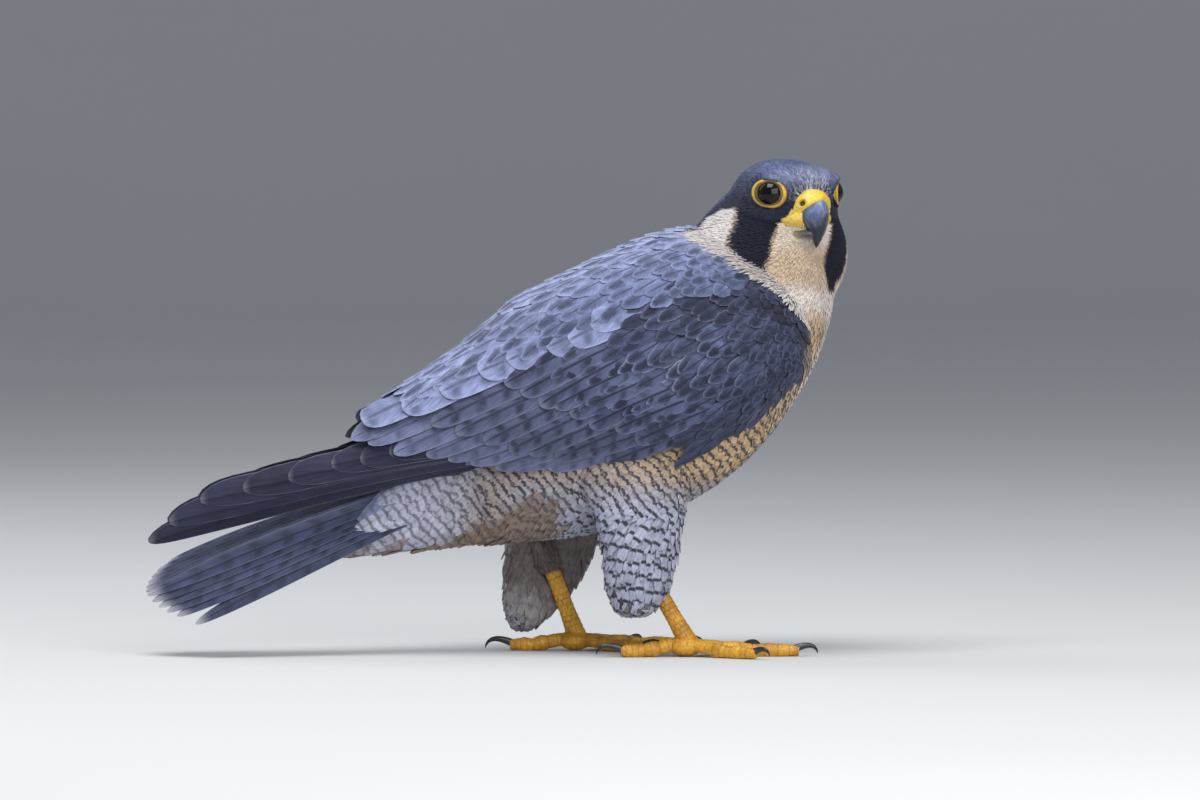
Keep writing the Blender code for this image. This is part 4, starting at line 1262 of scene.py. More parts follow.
    @staticmethod
    def in_bill(own: Array) -> Array:
        """Whether places of the head's frame lie inside the bill's cere or lower half."""
        ahead, left, high = own.T
        wide = np.interp(ahead, (14, 20, 25, 28.5), (12.4, 11.9, 10.6, 9)) * (1 - 0.024 * (high + 1.6))
        lean = 0.45 * (high - 1)
        upper = ((np.abs(left) / wide) ** 2.1 + (np.abs(high + 0.9) / 9.6) ** 2.1 < 1) & (ahead > 19 + lean
            * (high > 1))
        wide = np.interp(ahead, (17, 23.5, 27.5, 31.5), (10.4, 8.4, 6, 3))
        lower = (np.abs(left) / wide) ** 2.1 + (np.abs(high + 13.8) / 2.9) ** 2.1 < 1
        gape = np.zeros(len(own), bool)
        for a, b, c, radius in smooth_rows(Face.MOUTH, 12):
            gape |= (ahead - a) ** 2 + (np.abs(left) - b) ** 2 + (high - c) ** 2 < (radius + 0.2) ** 2
        return gape | ((ahead > 15) & (upper | lower))

    def spacing(self, points: Array) -> Array:
        """The distance between roots, or zero on bare places."""
        size = self.length(points)
        return np.where(self.bare(points), 0,
                        np.interp(size, (2, 5, 9, 12, 20, 24, 30), (0.42, 0.70, 1.2, 1.8, 2.7, 3.6, 5.0)))

    def unwrap(self, points: Array) -> Array:
        """The skin's own map: distance along a line from tail to head, and the turn about that line."""
        x, y, z = points.T
        along = ((x + 100) * 0.82 + (z - 10) * 0.57) / 400
        middle_z = np.interp(x, (-90, -15, 40, 97, 150), (54, 97, 118, 142, 200))
        turn = np.arctan2(y, z - middle_z) / math.tau + 0.5
        return np.clip(np.stack([0.02 + 0.96 * turn, 0.02 + 0.96 * along], -1), 0.004, 0.996)

    def build(self, frame: dict[str, Any], finishes: Dress) -> None:
        """Makes the skin and its feathers.

        Args:
            frame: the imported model.
            finishes: the materials by name.
        """
        rng = np.random.default_rng(11)
        skin = self.skin(frame)
        paint = self.plumage.body(skin.points, skin.normals, rng)
        shape = Shape(skin.points, skin.faces, {}, {"ground": paint.ground})
        shape.maps["OFBake"] = self.unwrap(skin.points)
        shape.piece("skin", finishes["skin"], "slate", "torso", "neck", "head", "thigh_right", "thigh_left",
                    sharp=180)
        roots = skin.spread(self.spacing, self.lie.body, 0.62, rng)
        _, normals = skin.nearest(roots)
        length = self.length(roots) * (0.88 + 0.24 * rng.random(len(roots)))
        lie = self.lie.body(roots)
        x, _, z = roots.T
        thigh = (ease(88, 74, z) * ease(0, 14, x)) > 0.5
        sway = np.cross(normals, lie) * (rng.normal(0, 1, len(roots)) * np.where(thigh, 0.09, 0.07))[:, None]
        length = length * np.where(thigh, rng.uniform(0.75, 1.15, len(roots)), 1)
        tail = x < -18
        size = self.length(roots)
        face, neck = size < 4.0, (size >= 4.0) & (size < 9.5)
        rest = size >= 9.5
        groups = {
            "coat_face": (face, SMALL, 0.12, 0.9),
            "coat_neck": (neck & ~thigh, SMALL, 0.13, 0.9),
            "coat_trunk": (rest & ~thigh & ~tail, CONTOUR, 0.17, 0.9),
            "coat_thighs": (thigh, LOOSE, 0.12, 1.2),
            "coat_tail": (tail & ~thigh & rest, LEAF, 0.20, 0.9),
        }
        paint = self.plumage.body(roots, normals, rng)
        period = np.where(thigh, 6.6, np.where(tail, 4.8, 5.0))
        course = np.where(thigh, z + 0.15 * x, 0.78 * x + 0.62 * z)
        paint.form[:, 3] = (0.4 * ripple(roots, 7) + 0.055 * rng.normal(size=len(roots)) - course / period) % 1.0
        slope = np.where(thigh[:, None], (0.15, 0.0, 1.0), (0.78, 0.0, 0.62))
        paint.beat[:, 0] = length * np.clip(-(unit(lie) * slope).sum(1), 0.35, 1.1) / period / 20
        fluffy = (x < 46) & (z < np.interp(x, (-90, -20, 0, 20, 60), (56, 68, 78, 92, 92)))
        stray = np.where(thigh, 0.35, np.where(fluffy, 0.8, 0.12))
        for name, (chosen, blade, narrow, rise) in groups.items():
            k = np.flatnonzero(chosen)
            high = self.depth(roots[k]) * rise + 0.25 + stray[k] * rng.normal(0, 1,
                len(k)) * np.minimum(length[k] / 10, 1)
            grids = lay(skin, roots[k], lie[k] + sway[k], length[k], narrow * length[k] + 0.2, -0.15, high,
                        blade, rng)
            own = Paint(paint.ground[k], paint.mark[k], paint.form[k], paint.beat[k])
            finish = finishes[{"coat_face": "face", "coat_neck": "face", "coat_thighs": "thigh"}.get(name, "down")]
            log.info("%s: %d feathers", name, len(k))
            coat(grids, blade, own, self.unwrap(roots[k])).piece(name, finish,
                "barred" if name == "coat_thighs" else "slate")


@dataclass(frozen=True)
class Tier:
    """One row of large feathers of the right wing.

    Attributes:
        name: the row's name.
        keys: key feathers: tip x and height, root x and height, width above and below the shaft.
        count: how many feathers.
        layer: height of the first over the wing's surface.
        step: from one feather's height to the next one's.
        tilt: how far the upper edge lies under the lower one.
        dive: how far the root dives, and how late along the feather.
        blade: outline and section.
        ground: the vane's colour.
        mark: the colour of its bars and shaft.
        form: strength of bars, middle and fringe.
        beat: beat of the bars, their bend, the shaft and where the fringe starts.
        loose: how unevenly the tips lie.
    """

    name: str
    keys: tuple[tuple[float, ...], ...]
    count: int
    layer: float
    step: float
    tilt: float
    dive: tuple[float, float]
    blade: Blade
    ground: Colour
    mark: Colour
    form: Point
    beat: tuple[float, float, float, float]
    loose: float = 1.4

    def grids(self, cloak: Cloak, rng: Random) -> Array:
        """Points of the feathers: straight shafts in the plane of x and height, put on the wing's surface.

        Args:
            cloak: the wing's surface.
            rng: the random numbers.

        Returns:
            Points, feathers by stations by places round the section by three.
        """
        rows = smooth_rows(self.keys, self.count)
        rows[:, :2] += rng.normal(0, 1, (self.count, 2)) * self.loose
        tip, root = rows[:, :2], rows[:, 2:4]
        axis = tip - root
        across = unit(np.stack([-axis[:, 1], axis[:, 0]], -1))
        across = across * np.sign(across[:, 1:])
        along, width = np.array(self.blade.along), np.array(self.blade.width)
        t, lift = np.array(self.blade.across), np.array(self.blade.lift)
        middle = root[:, None] + axis[:, None] * along[:, None]
        half = np.where(t > 0, rows[:, 4:5, None], rows[:, 5:6, None]) * width[:, None]
        bow = (along * (1 - along))[None, :, None] * np.linalg.norm(axis, axis=1)[:, None, None] * 0.045
        place = middle[:, :, None] + across[:, None, None] * (t * half + bow)[..., None]
        deep = self.layer + self.step * np.arange(self.count)[:, None,
            None] - self.dive[0] * (1 - along[:, None]) ** self.dive[1]
        deep = deep - self.tilt * (t + 1) / 2 + lift * self.blade.thick + self.blade.camber * half * (1 - t * t) * 0.5
        return cloak.place(place[..., 0], place[..., 1], deep)


PRIMARIES = Tier(
    "primaries",
    (
        (-46, 110, 44, 120, 9, 8), (-60, 107.5, 40, 118, 10, 8), (-75, 104, 36, 116, 11, 8),
        (-89, 100, 32, 114, 12, 8),
        (-111.5, 94, 28, 112, 12.5, 8), (-135, 88.5, 24, 110, 12.5, 7.5), (-157, 82, 20, 108, 12, 7),
        (-172, 70, 16, 103.5, 12, 7.5), (-182, 58.8, 12, 100, 12, 7.5), (-168, 60, 10, 97, 10, 7.5),
    ),
    10, -3.0, -0.8, 0.0, (0.0, 1), PINION, (0.026, 0.028, 0.058), (0.012, 0.012, 0.022), (0.0, 0.15, 0.8),
    (0.3, 0.2, 0.4, 0.93), 0.5,
)
SECONDARIES = Tier(
    "secondaries",
    ((-81.5, 116, 30, 166, 7.5, 7), (-46, 106, 45, 143, 7, 6.5), (-14, 100, 68, 126, 6.5, 6),
     (21, 97, 96, 114, 6, 5)),
    9, -1.5, 0.0, 1.3, (8.0, 20), ROUND, (0.150, 0.172, 0.300), (0.045, 0.052, 0.095), (0.66, 0.15, 0.45),
    (0.40, 0.10, 0.6, 0.88),
)
GREATER = Tier(
    "greater_coverts",
    ((-38, 122, 42, 158, 7, 6.5), (-8, 110, 60, 143, 7, 6), (20, 104, 82, 130, 6.5, 5.5), (54, 103, 106, 121, 6, 5)),
    8, 0.2, 0.0, 0.9, (8.0, 20), ROUND, (0.100, 0.114, 0.205), (0.020, 0.023, 0.045), (0.85, 0.25, 0.36),
    (0.30, 0.22, 0.7, 0.86),
)
MEDIAN = Tier(
    "median_coverts",
    ((2, 142, 50, 168, 7, 6.5), (28, 128, 74, 150, 6.5, 6), (67, 113, 110, 132, 6.5, 5.5)),
    8, 1.4, 0.0, 0.8, (8.0, 20), ROUND, (0.092, 0.107, 0.20), (0.020, 0.023, 0.046), (0.7, 0.45, 0.36),
    (0.20, 0.3, 0.9, 0.84),
)
SCAPULARS = Tier(
    "scapulars",
    ((-70, 122, 2, 157, 8, 7), (-25, 139, 38, 170, 9, 8), (16, 157, 72, 184, 9, 9), (44, 170, 98, 196, 8, 8)),
    8, 2.0, 0.0, -0.3, (4.4, 1), ROUND, (0.245, 0.285, 0.49), (0.080, 0.094, 0.17), (0.8, 0.3, 0.5),
    (0.22, 0.16, 0.8, 0.87),
)


@dataclass
class Wings:
    """Both folded wings: their core, rows of large feathers, coverts and the mantle between them."""

    cloak: Cloak
    lie: Lie
    plumage: Plumage

    def core(self) -> Shape:
        """A closed saddle under the feathers, as thick as flesh, from the wrists to behind the thighs."""
        x = np.concatenate([np.linspace(-20, 150, 70), np.linspace(152, 158.2, 6)])
        turn = np.linspace(-1.5, 1.5, 120)
        sink = track(self.cloak.SINK, x)
        top = self.cloak.saddle(x[:, None], turn[None])
        normal = np.cross(np.gradient(top, axis=1), np.gradient(top, axis=0))
        normal = unit(np.where((normal[..., 2:] < 0) & (np.abs(turn)[None, :, None] < 0.9), -normal, normal))
        middle = np.array((1.0, 0, 0)) * x[:, None] + (0, 0, 120)
        normal = normal * np.sign((normal * (top - middle[:, None])).sum(-1, keepdims=True))
        outer = top - normal * (sink + 0.5)[:, None, None]
        inner = top - normal * (sink + 3.5)[:, None, None]
        return Shape.one(np.concatenate([outer, inner[:, ::-1]], 1))

    def saddle(self) -> Surface:
        """The surface that mantle and lesser coverts lie on."""
        x = np.concatenate([np.linspace(-75, 148, 112), np.linspace(149.5, 159.4, 10)])
        turn = np.linspace(-1.6, 1.6, 200)
        points = self.cloak.saddle(x[:, None], turn[None])
        index = np.arange(points.shape[0] * 200).reshape(-1, 200)
        quads = np.stack([index[:-1, :-1], index[:-1, 1:], index[1:, 1:], index[1:, :-1]], -1).reshape(-1, 4)
        surface = Surface(points.reshape(-1, 3), quads)
        away = surface.points * (0, 1, 1) - surface.points.mean(0) * (0, 0, 1)
        outward = (surface.normals * away).sum(1)
        return surface if np.median(outward) > 0 else Surface(surface.points, quads[:, ::-1])

    # x and height of the lower boundary of the scapulars
    HEM = ((-70, 122), (-25, 143.5), (-7, 152), (11, 158), (32, 168.5), (53, 178), (84, 184), (105, 185.6),
           (126, 189), (145, 196))
    # x and height of the boundary of the neck's feathers over the mantle
    COLLAR = ((100, 216), (115, 205), (132, 194), (142, 188), (150, 179), (157, 171))
    # x and lowest root height of the lesser coverts
    FOOT = ((15, 178), (40, 162), (60, 141), (95, 118), (108, 104), (160, 100))

    def turn(self, points: Array) -> Array:
        """Degrees down from the middle of the back."""
        x, y, z = points.T
        top, widest, _, wide = self.cloak.at(x)
        return np.degrees(np.arctan2((np.abs(y) / wide) ** (self.cloak.POWER / 2),
            np.clip((z - widest) / (top - widest), 0, 1) ** (self.cloak.POWER / 2)))

    def mantle_length(self, points: Array) -> Array:
        """From short by the neck to long over the tertials."""
        return np.interp(points[:, 0], (-40, 10, 60, 100, 135), (34, 30, 26, 19, 10))

    def mantle_spacing(self, points: Array) -> Array:
        """Roots of the mantle: clear of the neck and far enough up for their tips to end at the hem."""
        x, _, z = points.T
        size = self.mantle_length(points)
        hem = track(self.HEM, x - 0.85 * size) + 2.5 * ripple(points, 6)
        edge = track(self.cloak.EDGE, x)
        free = (z - 0.52 * size > hem - 1.5) & (self.turn(points) > (edge + 3) * ease(112, 124, x)
            - 1) & (x < 146) & (x > -30)
        free &= self.over_collar(points) < 4
        return np.where(free, np.interp(size, (10, 19, 34), (2.6, 3.7, 5.3)), 0)

    def over_collar(self, points: Array) -> Array:
        """How far points lie above the collar at the sides of the neck, less than zero on the middle of the back."""
        x, y, z = points.T
        return np.where((np.abs(y) > 9) & (x > 100), z - track(self.COLLAR, x), -9.0)

    def ruff_spacing(self, points: Array) -> Array:
        """Roots of the neck's feathers that lie over the front edge of the mantle."""
        return np.where((self.over_collar(points) > 2.5) & (points[:, 0] < 157), 0.95, 0)

    def ruff_colour(self, points: Array, rng: Random) -> Paint:
        """The neck's colours."""
        paint = self.plumage.body(points, np.sign(points[:, 1:2]) * np.array((0, 1.0, 0)), rng)
        pale = np.maximum(ease(0.25, 0.45, paint.ground[:, 0]), ease(212, 206, points[:, 2]))
        return Paint(blend(paint.ground, Plumage.WHITE, 0.85 * pale), paint.mark, paint.form, paint.beat)

    def covert_length(self, points: Array) -> Array:
        """From long over the median coverts to scale-like at the wrist."""
        return np.interp(points[:, 0], (20, 60, 110, 145, 160), (27, 25, 19, 10.5, 6.5))

    def covert_spacing(self, points: Array) -> Array:
        """Roots of the lesser coverts, between the scapulars' hem and the median coverts."""
        x, y, z = points.T
        free = (z > track(self.FOOT, x)) & (z < track(self.HEM, x) + 13) & (x > 12) & (y < 0)
        free &= self.over_collar(points) < 4
        return np.where(free, np.interp(self.covert_length(points), (6.5, 10.5, 19, 27), (1.9, 2.7, 3.8, 4.6)), 0)

    @staticmethod
    def unwrap(points: Array) -> Array:
        """The wing's own map: distance along it and height."""
        return np.clip(np.stack([0.03 + (points[:, 0] + 185) / 360,
            0.5 + np.sign(points[:, 1]) * (225 - points[:, 2]) / 400], -1), 0.004, 0.996)

    def field(self, name: str, surface: Surface, spacing: Callable[[Array], Array], length: Callable[[Array], Array],
              colour: Callable[..., Paint], low: float, high: float, narrow: float, rng: Random,
              blade: Blade = LEAF) -> Shape:
        """Small feathers over part of the wings' surface."""
        roots = surface.spread(spacing, self.lie.wing, 0.46, rng)
        _, normals = surface.nearest(roots)
        size = length(roots) * (0.9 + 0.2 * rng.random(len(roots)))
        lie = self.lie.wing(roots)
        sway = np.cross(normals, lie) * rng.normal(0, 0.09, len(roots))[:, None]
        rise = high * np.minimum(size / 12, 1) + rng.normal(0, 0.10, len(roots))
        half = narrow * spacing(roots) + 0.3
        grids = lay(surface, roots, lie + sway, size, half, low + 0 * rise, rise, blade, rng)
        log.info("%s: %d feathers", name, len(roots))
        return coat(grids, blade, colour(roots, rng), self.unwrap(roots))

    def build(self, finishes: Dress) -> None:
        """Makes all the pieces of both wings."""
        rng = np.random.default_rng(23)
        core = self.core()
        core.maps["OFBake"] = self.unwrap(core.points)
        core = core.tinted(ground=np.tile((0.15, 0.17, 0.29), (len(core.points), 1)))
        core.piece("wing_core", finishes["core"], "slate", "wing_right", "wing_left")
        surface = self.saddle()
        self.field("mantle", surface, self.mantle_spacing, self.mantle_length, Plumage.mantle, 0.6, 2.7, 1.26,
                   rng).piece(
            "coat_mantle", finishes["vane"], "slate"
        )
        self.field("ruff", surface, self.ruff_spacing, lambda p: np.full(len(p), 8.5), self.ruff_colour, 0.4,
                   3.2, 0.42, rng, SMALL).piece(
            "coat_ruff", finishes["face"], "slate"
        )
        lesser = self.field("lesser", surface, self.covert_spacing, self.covert_length, Plumage.coverts, -0.4,
                            1.8, 1.06, rng)
        lesser.piece("coat_coverts_right", finishes["vane"], "slate")
        lesser.mirrored().piece("coat_coverts_left", finishes["vane"], "slate")
        for tier in (PRIMARIES, SECONDARIES, GREATER, MEDIAN, SCAPULARS):
            grids = tier.grids(self.cloak, rng)
            paint = Paint.plain(tier.count, tier.ground, tier.mark, tier.form, tier.beat, rng)
            places = np.stack([np.full(tier.count, 0.5), (np.arange(tier.count) + 0.5) / tier.count], -1)
            shape = coat(grids, tier.blade, paint, places)
            own = vane_map(tier.count, tier.blade).reshape(tier.count, -1, 2)
            strip = np.stack([0.02 + 0.96 * own[..., 1],
                              (np.arange(tier.count)[:, None] + 0.1 + 0.8 * own[..., 0]) / tier.count], -1)
            shape.maps["OFBake"] = strip.reshape(-1, 2)
            shape.piece(f"{tier.name}_right", finishes["flight"], "slate", "wing_right")
            shape.mirrored().piece(f"{tier.name}_left", finishes["flight"], "slate", "wing_left")


@dataclass
class Tail:
    """Twelve tail feathers in a banked fan, the middle pair on top."""

    root: Point = (-25, 0, 93)
    tip: Point = (-183, 0, 33)
    arch: float = 1.5
    bank: float = 38
    spread: tuple[float, float] = (2.3, 4.7)
    left_share: float = 0.85
    apart: float = 5.0
    steps: tuple[float, ...] = (0, 1, 3, 6, 10, 17)
    webs: tuple[float, float] = (7, 9)
    pitch: float = 0.95

    def build(self, finishes: Dress) -> None:
        """Makes the fan: straight shafts from one root, spread sideways and stacked along the bank's normal."""
        rng = np.random.default_rng(31)
        root, tip = np.array(self.root, float), np.array(self.tip, float)
        length = np.linalg.norm(tip - root)
        along = (tip - root) / length
        up = np.cross(along, (0, -1.0, 0))
        bank = math.radians(self.bank)
        side = np.array((0, math.cos(bank), 0)) + up * math.sin(bank)
        over = up * math.cos(bank) - np.array((0, math.sin(bank), 0))
        blade = POINTED
        share, width = np.array(blade.along), np.array(blade.width)
        t, lift = np.array(blade.across), np.array(blade.lift)
        grids = []
        for hand in Side:
            for k, shorter in enumerate(self.steps):
                layer = -self.pitch * (k + (hand is Side.LEFT))
                fan = self.spread[0] + (self.spread[1] - self.spread[0]) * share
                middle = root + along * ((length - shorter) * share)[:,
                    None] + up * (self.arch * np.sin(math.pi * share))[:, None]
                half = np.where(t > 0, self.webs[0], self.webs[1]) * width[:, None] * (0.75 + 0.25 * share[:, None])
                gap = self.apart * share**1.3 if k == 5 and hand is Side.RIGHT else 0 * share
                out = (fan * (k + 0.5) * (self.left_share if hand is Side.LEFT else 1) + gap)[:, None] + t * half
                out = out if hand is Side.RIGHT and k == 0 else np.maximum(out, 0.2)
                deep = layer + lift * blade.thick + 0.05 * half * (1 - t * t)
                grids.append(middle[:, None] + side * (hand.value * out)[..., None] + over * deep[..., None])
        grids = np.array(grids)
        paint = Paint.plain(len(grids), (0.050, 0.060, 0.122), (0.010, 0.011, 0.022), (0.6, 0.1, 0.85),
                            (0.50, 0.15, 0.6, 0.85), rng)
        places = np.full((12, 2), 0.5)
        shape = coat(grids, blade, paint, places)
        own = vane_map(12, blade).reshape(12, -1, 2)
        strip = np.stack([0.02 + 0.96 * own[..., 1], (np.arange(12)[:, None] + 0.1 + 0.8 * own[..., 0]) / 12], -1)
        shape.maps["OFBake"] = strip.reshape(-1, 2)
        shape.piece("tail_feathers", finishes["rectrix"], "slate", "tail")


@dataclass
class Face:
    """Eyes, eyelids, cere with nostrils, gape and bill, in the head's own frame."""

    # the mouth's fleshy edge from the bill to its corner: place in the head's frame and radius
    MOUTH = ((25.2, 6.2, -5.6, 4.2), (22.9, 9.0, -6.2, 3.4), (20.4, 11.7, -7.0, 2.4), (18.1, 13.9, -7.3, 1.5),
             (15.9, 15.7, -7.2, 0.5))

    head: Head

    def eye(self, side: Side) -> Shape:
        """A ball with its pole at the pupil and a slightly raised cornea."""
        middle, facing, level, upward = self.head.eye(side)
        pole = np.linspace(0.001, math.pi - 0.001, 40)
        turn = np.linspace(0, math.tau, 64, endpoint=False)
        radius = (self.head.EYE_RADIUS + 0.35 * ease(0.7, 0.1, pole))[:, None]
        out = np.cos(turn)[None, :, None] * level + np.sin(turn)[None, :, None] * upward
        grid = np.cos(pole)[:, None, None] * facing + np.sin(pole)[:, None, None] * out
        return self.placed(Shape.one(middle - facing * self.head.EYE_DEPTH + grid * radius[..., None]))

    def placed(self, shape: Shape) -> Shape:
        """A shape of the head's own frame put in the bird's."""
        shape.points = self.head.out(shape.points)
        return shape

    def lids(self, side: Side) -> Shape:
        """The bare rim round the eye: a swollen ring from the eyeball out to the feathers, wrinkled round
        its course."""
        middle, facing, level, upward = self.head.eye(side)
        turn = np.linspace(0, math.tau, 128, endpoint=False)
        # share from the inner to the outer edge and height over the lids' plane, over the top and back inside
        profile = smooth_rows(
            ((0.0, -1.2), (0.0, -0.4), (0.10, 0.1), (0.24, 0.28), (0.40, 0.05), (0.56, 0.22), (0.76, 0.0),
             (0.94, -0.5), (1.0, -1.3),
             (0.9, -2.4), (0.5, -2.8), (0.08, -2.2)), 30
        )
        share, rise = profile[:, 0][:, None], profile[:, 1][:, None]
        wrinkle = 0.10 * np.sin(turn * 38 + 2 * np.sin(turn * 3)) * ease(0.05, 0.2, share) * ease(0.95, 0.8, share)
        inside = 5.45 + 0.65 * np.cos(turn) ** 2
        outside = 7.5 + 2.2 * np.abs(np.cos(turn)) ** 1.6 - 0.3 * np.clip(np.sin(turn), 0, 1)
        outside = outside if side is Side.RIGHT else inside + 0.5 * (outside - inside)
        reach = inside + share * (outside - inside)
        brow = 0.3 * np.clip(np.sin(turn), 0, 1) ** 2 * share
        out = np.cos(turn)[:, None] * level + np.sin(turn)[:, None] * upward
        grid = middle + out[None] * reach[..., None] + facing * (rise + wrinkle + brow)[..., None]
        return self.placed(Shape.one(np.swapaxes(grid, 0, 1)[:, ::-1]))

    def lid_piece(self, side: Side) -> Shape:
        """The rim closed round its course, with its seam joined."""
        ring = self.lids(side)
        count, around = 128, 30
        index = np.arange(count * around).reshape(count, around)
        beside, ahead = np.roll(index, -1, 1), np.roll(index, -1, 0)
        quads = np.stack([index, beside, np.roll(beside, -1, 0), ahead], -1).reshape(-1, 4)
        points = ring.points
        own = points - points.mean(0)
        a, b, c, d = (own[quads[:, i]] for i in range(4))
        if (a * (np.cross(b, c) + np.cross(c, d))).sum() < 0:
            quads = quads[:, ::-1].copy()
        # Painted shade: the inner wall down to the eye near-black, and dark in the groove along the ring and on its
        # outer slope under the feathers, over random grime.
        step = np.arange(around) / around * 12
        groove_shade = np.tile(ease(0.7, 0.2, np.abs(step - 3.8)) * 0.9 + ease(6.2, 7.2, step), count)
        grime_and_shade = np.maximum(groove_shade, 0.05 + 0.3 * ripple(points, 1.1))
        skin = np.stack([np.zeros(len(points)), np.tile(ease(1.5, 1.0, step), count), np.clip(grime_and_shade, 0, 1)], -1)
        return Shape(points, quads, ring.maps, {"skin": skin})

    def loft(self, rows: Any, count: int, around: int, sideways: float) -> Array:
        """Superellipse sections from rows of x, lean, top, bottom and half width."""
        turn = np.linspace(0, math.tau, around, endpoint=False)
        c, s = (np.sign(f(turn)) * np.abs(f(turn)) ** (2 / sideways) for f in (np.cos, np.sin))
        x, lean, top, bottom, wide = (column[:, None] for column in smooth_rows(rows, count).T)
        return np.stack([x + c * lean, s * wide, (top + bottom) / 2 + c * (top - bottom) / 2], -1)

    def cere(self) -> Shape:
        """The swollen bare base of the bill, with a round pit and a small cone in it for each nostril, the pit
        painted near-black as shade.
        """
        rows = ((15, 2, 8.0, -10.5, 12.0), (19, 3.4, 9.3, -10.6, 11.9), (21.6, 4.8, 9.5, -10.6, 11.2),
                (23.4, 5.8, 8.9, -10.5, 10.4),
                (24.8, 6.4, 7.6, -10.3, 9.6), (25.6, 6.6, 6.0, -10.0, 8.8), (25.8, 6.4, 4.6, -9.4, 8.0),
                (25.2, 6.0, 3.4, -8.6, 7.0))
        grid = self.loft(rows, 64, 128, 2.1)
        skew = 1 - 0.22 * (grid[..., 2:] + 0.5) / 9.6
        grid = grid * np.concatenate([np.ones_like(skew), skew, np.ones_like(skew)], -1)
        centre = np.array((26.6, 0, 2.6))
        normal = unit(grid - np.array((20.0, 0, -1.5)))
        away = grid - centre - np.sign(grid[..., 1:2]) * np.array((0, 7.0, 0))
        off = np.linalg.norm(away[..., [0, 2]], axis=-1)
        side = np.abs(grid[..., 1]) > 3
        pit = np.where(side, ease(1.75, 1.1, off), 0)
        cone = np.where(side, ease(0.62, 0.2, off), 0)
        rim = np.where(side, np.exp(-(((off - 2.4) / 0.8) ** 2)), 0)
        swell = ripple(grid.reshape(-1, 3), 3.0).reshape(off.shape) * 0.22
        grid = grid - normal * (pit * 2.0 - cone * 1.4 - rim * 0.6 - swell)[..., None]
        shape = self.placed(Shape.one(grid))
        # Painted shade: the nostril's pit round its cone goes near-black.
        nostril_shade = (pit * (1 - cone)).reshape(-1)
        grime_and_shade = np.clip(0.10 + 0.2 * ripple(shape.points, 2.2), 0, 1) + 0.25 * ease(2.9, 2.1,
            off).reshape(-1) * side.reshape(-1)
        return shape.tinted(skin=np.stack([0 * nostril_shade, nostril_shade * 0.95, np.clip(grime_and_shade, 0, 1)], -1))

    def gape(self) -> list[Shape]:
        """The fleshy yellow edge of the mouth, on both sides of both jaws."""
        made = []
        for side in Side:
            rows = smooth_rows(self.MOUTH, 30)
            made.append(self.placed(tube(rows[:, :3] * (1, side.value, 1), rows[:, 3], 24)))
            lip = rows[:, :3] * (1, side.value, 1) + np.linspace(1, 0, 30)[:,
                None] ** 0.6 * np.array((0.6, -0.6 * side.value, -3.6))
            made.append(self.placed(tube(lip, 0.3 + 0.24 * rows[:, 3], 18)))
            fold = smooth_rows(((21.8, 9.6, -2.4, 2.6), (20.4, 11.0, -4.0, 2.1), (18.6, 12.8, -5.3, 1.5),
                                (16.6, 14.8, -6.4, 0.7)), 24)
            made.append(self.placed(tube(fold[:, :3] * (1, side.value, 1), fold[:, 3], 20)))
        shade = [np.clip(0.18 + 0.35 * ripple(shape.points, 1.4), 0, 0.7) for shape in made]
        return [shape.tinted(skin=np.stack([0 * own, 0 * own, own], -1)) for shape, own in zip(made, shade)]

    def bill(self) -> tuple[Shape, Shape]:
        """The hooked upper half with its tooth, and the lower half that closes into it."""
        rows = ((23.6, 6.0, 5.6, -9.4, 7.0), (25.3, 6.6, 4.9, -9.8, 7.3), (27.2, 6.8, 3.2, -10.2, 7.0),
                (29.0, 6.6, 0.8, -10.8, 6.3),
                (30.5, 6.0, -2.4, -11.8, 5.4), (31.4, 5.1, -6.0, -13.4, 4.4), (31.7, 4.0, -9.8, -15.4, 3.4),
                (31.5, 2.8, -13.2, -17.4, 2.3),
                (31.1, 1.7, -16.4, -19.2, 1.4), (30.8, 0.7, -19.0, -20.4, 0.5))
        grid = self.loft(rows, 56, 72, 2.05)
        low = ease(0.35, 1.0, -np.cos(np.linspace(0, math.tau, 72, endpoint=False)))[None]
        top = np.cos(np.linspace(0, math.tau, 72, endpoint=False))[None]
        grid[..., 1] *= 1 - 0.26 * ease(0.0, 1.0, top) + 0.10 * ease(0.0, -0.7, top) * np.linspace(1, 0, 56)[:, None]
        tooth = np.exp(-((np.linspace(0, 1, 56) - 0.43) / 0.035) ** 2)[:,
            None] - 0.7 * np.exp(-((np.linspace(0, 1, 56) - 0.53) / 0.04) ** 2)[:, None]
        wide = np.abs(grid[..., 1]) > 1.2
        grid[..., 2] -= tooth * low * wide
        upper = self.placed(Shape.one(grid))
        rows = ((17, 0, -11.0, -16.6, 11.0), (20, 0, -11.2, -16.8, 10.0), (23.5, 0.1, -11.4, -16.6, 8.4),
                (27.5, 0.4, -11.4, -15.9, 6.2), (30.3, 0.6, -11.8, -15.3, 4.2),
                (31.8, 0.8, -12.6, -14.7, 2.2))
        lower = self.placed(Shape.one(self.loft(rows, 30, 48, 2.1)))
        return upper, lower

    def build(self, finishes: Dress) -> None:
        """Makes the face's pieces."""
        for side in Side:
            self.eye(side).piece(f"eyeball_{side.word}", finishes["eye"], "eye", f"eye_{side.word}")
            self.lid_piece(side).piece(f"eyelids_{side.word}", finishes["lid"], "yellow")
        self.cere().piece("bill_cere", finishes["cere"], "yellow", "cere")
        Shape.together(self.gape()).piece("gape", finishes["cere"], "yellow")
        upper, lower = self.bill()
        upper.piece("beak_upper", finishes["horn"], "horn", "bill_upper")
        lower.piece("beak_lower", finishes["horn_low"], "horn", "bill_lower")


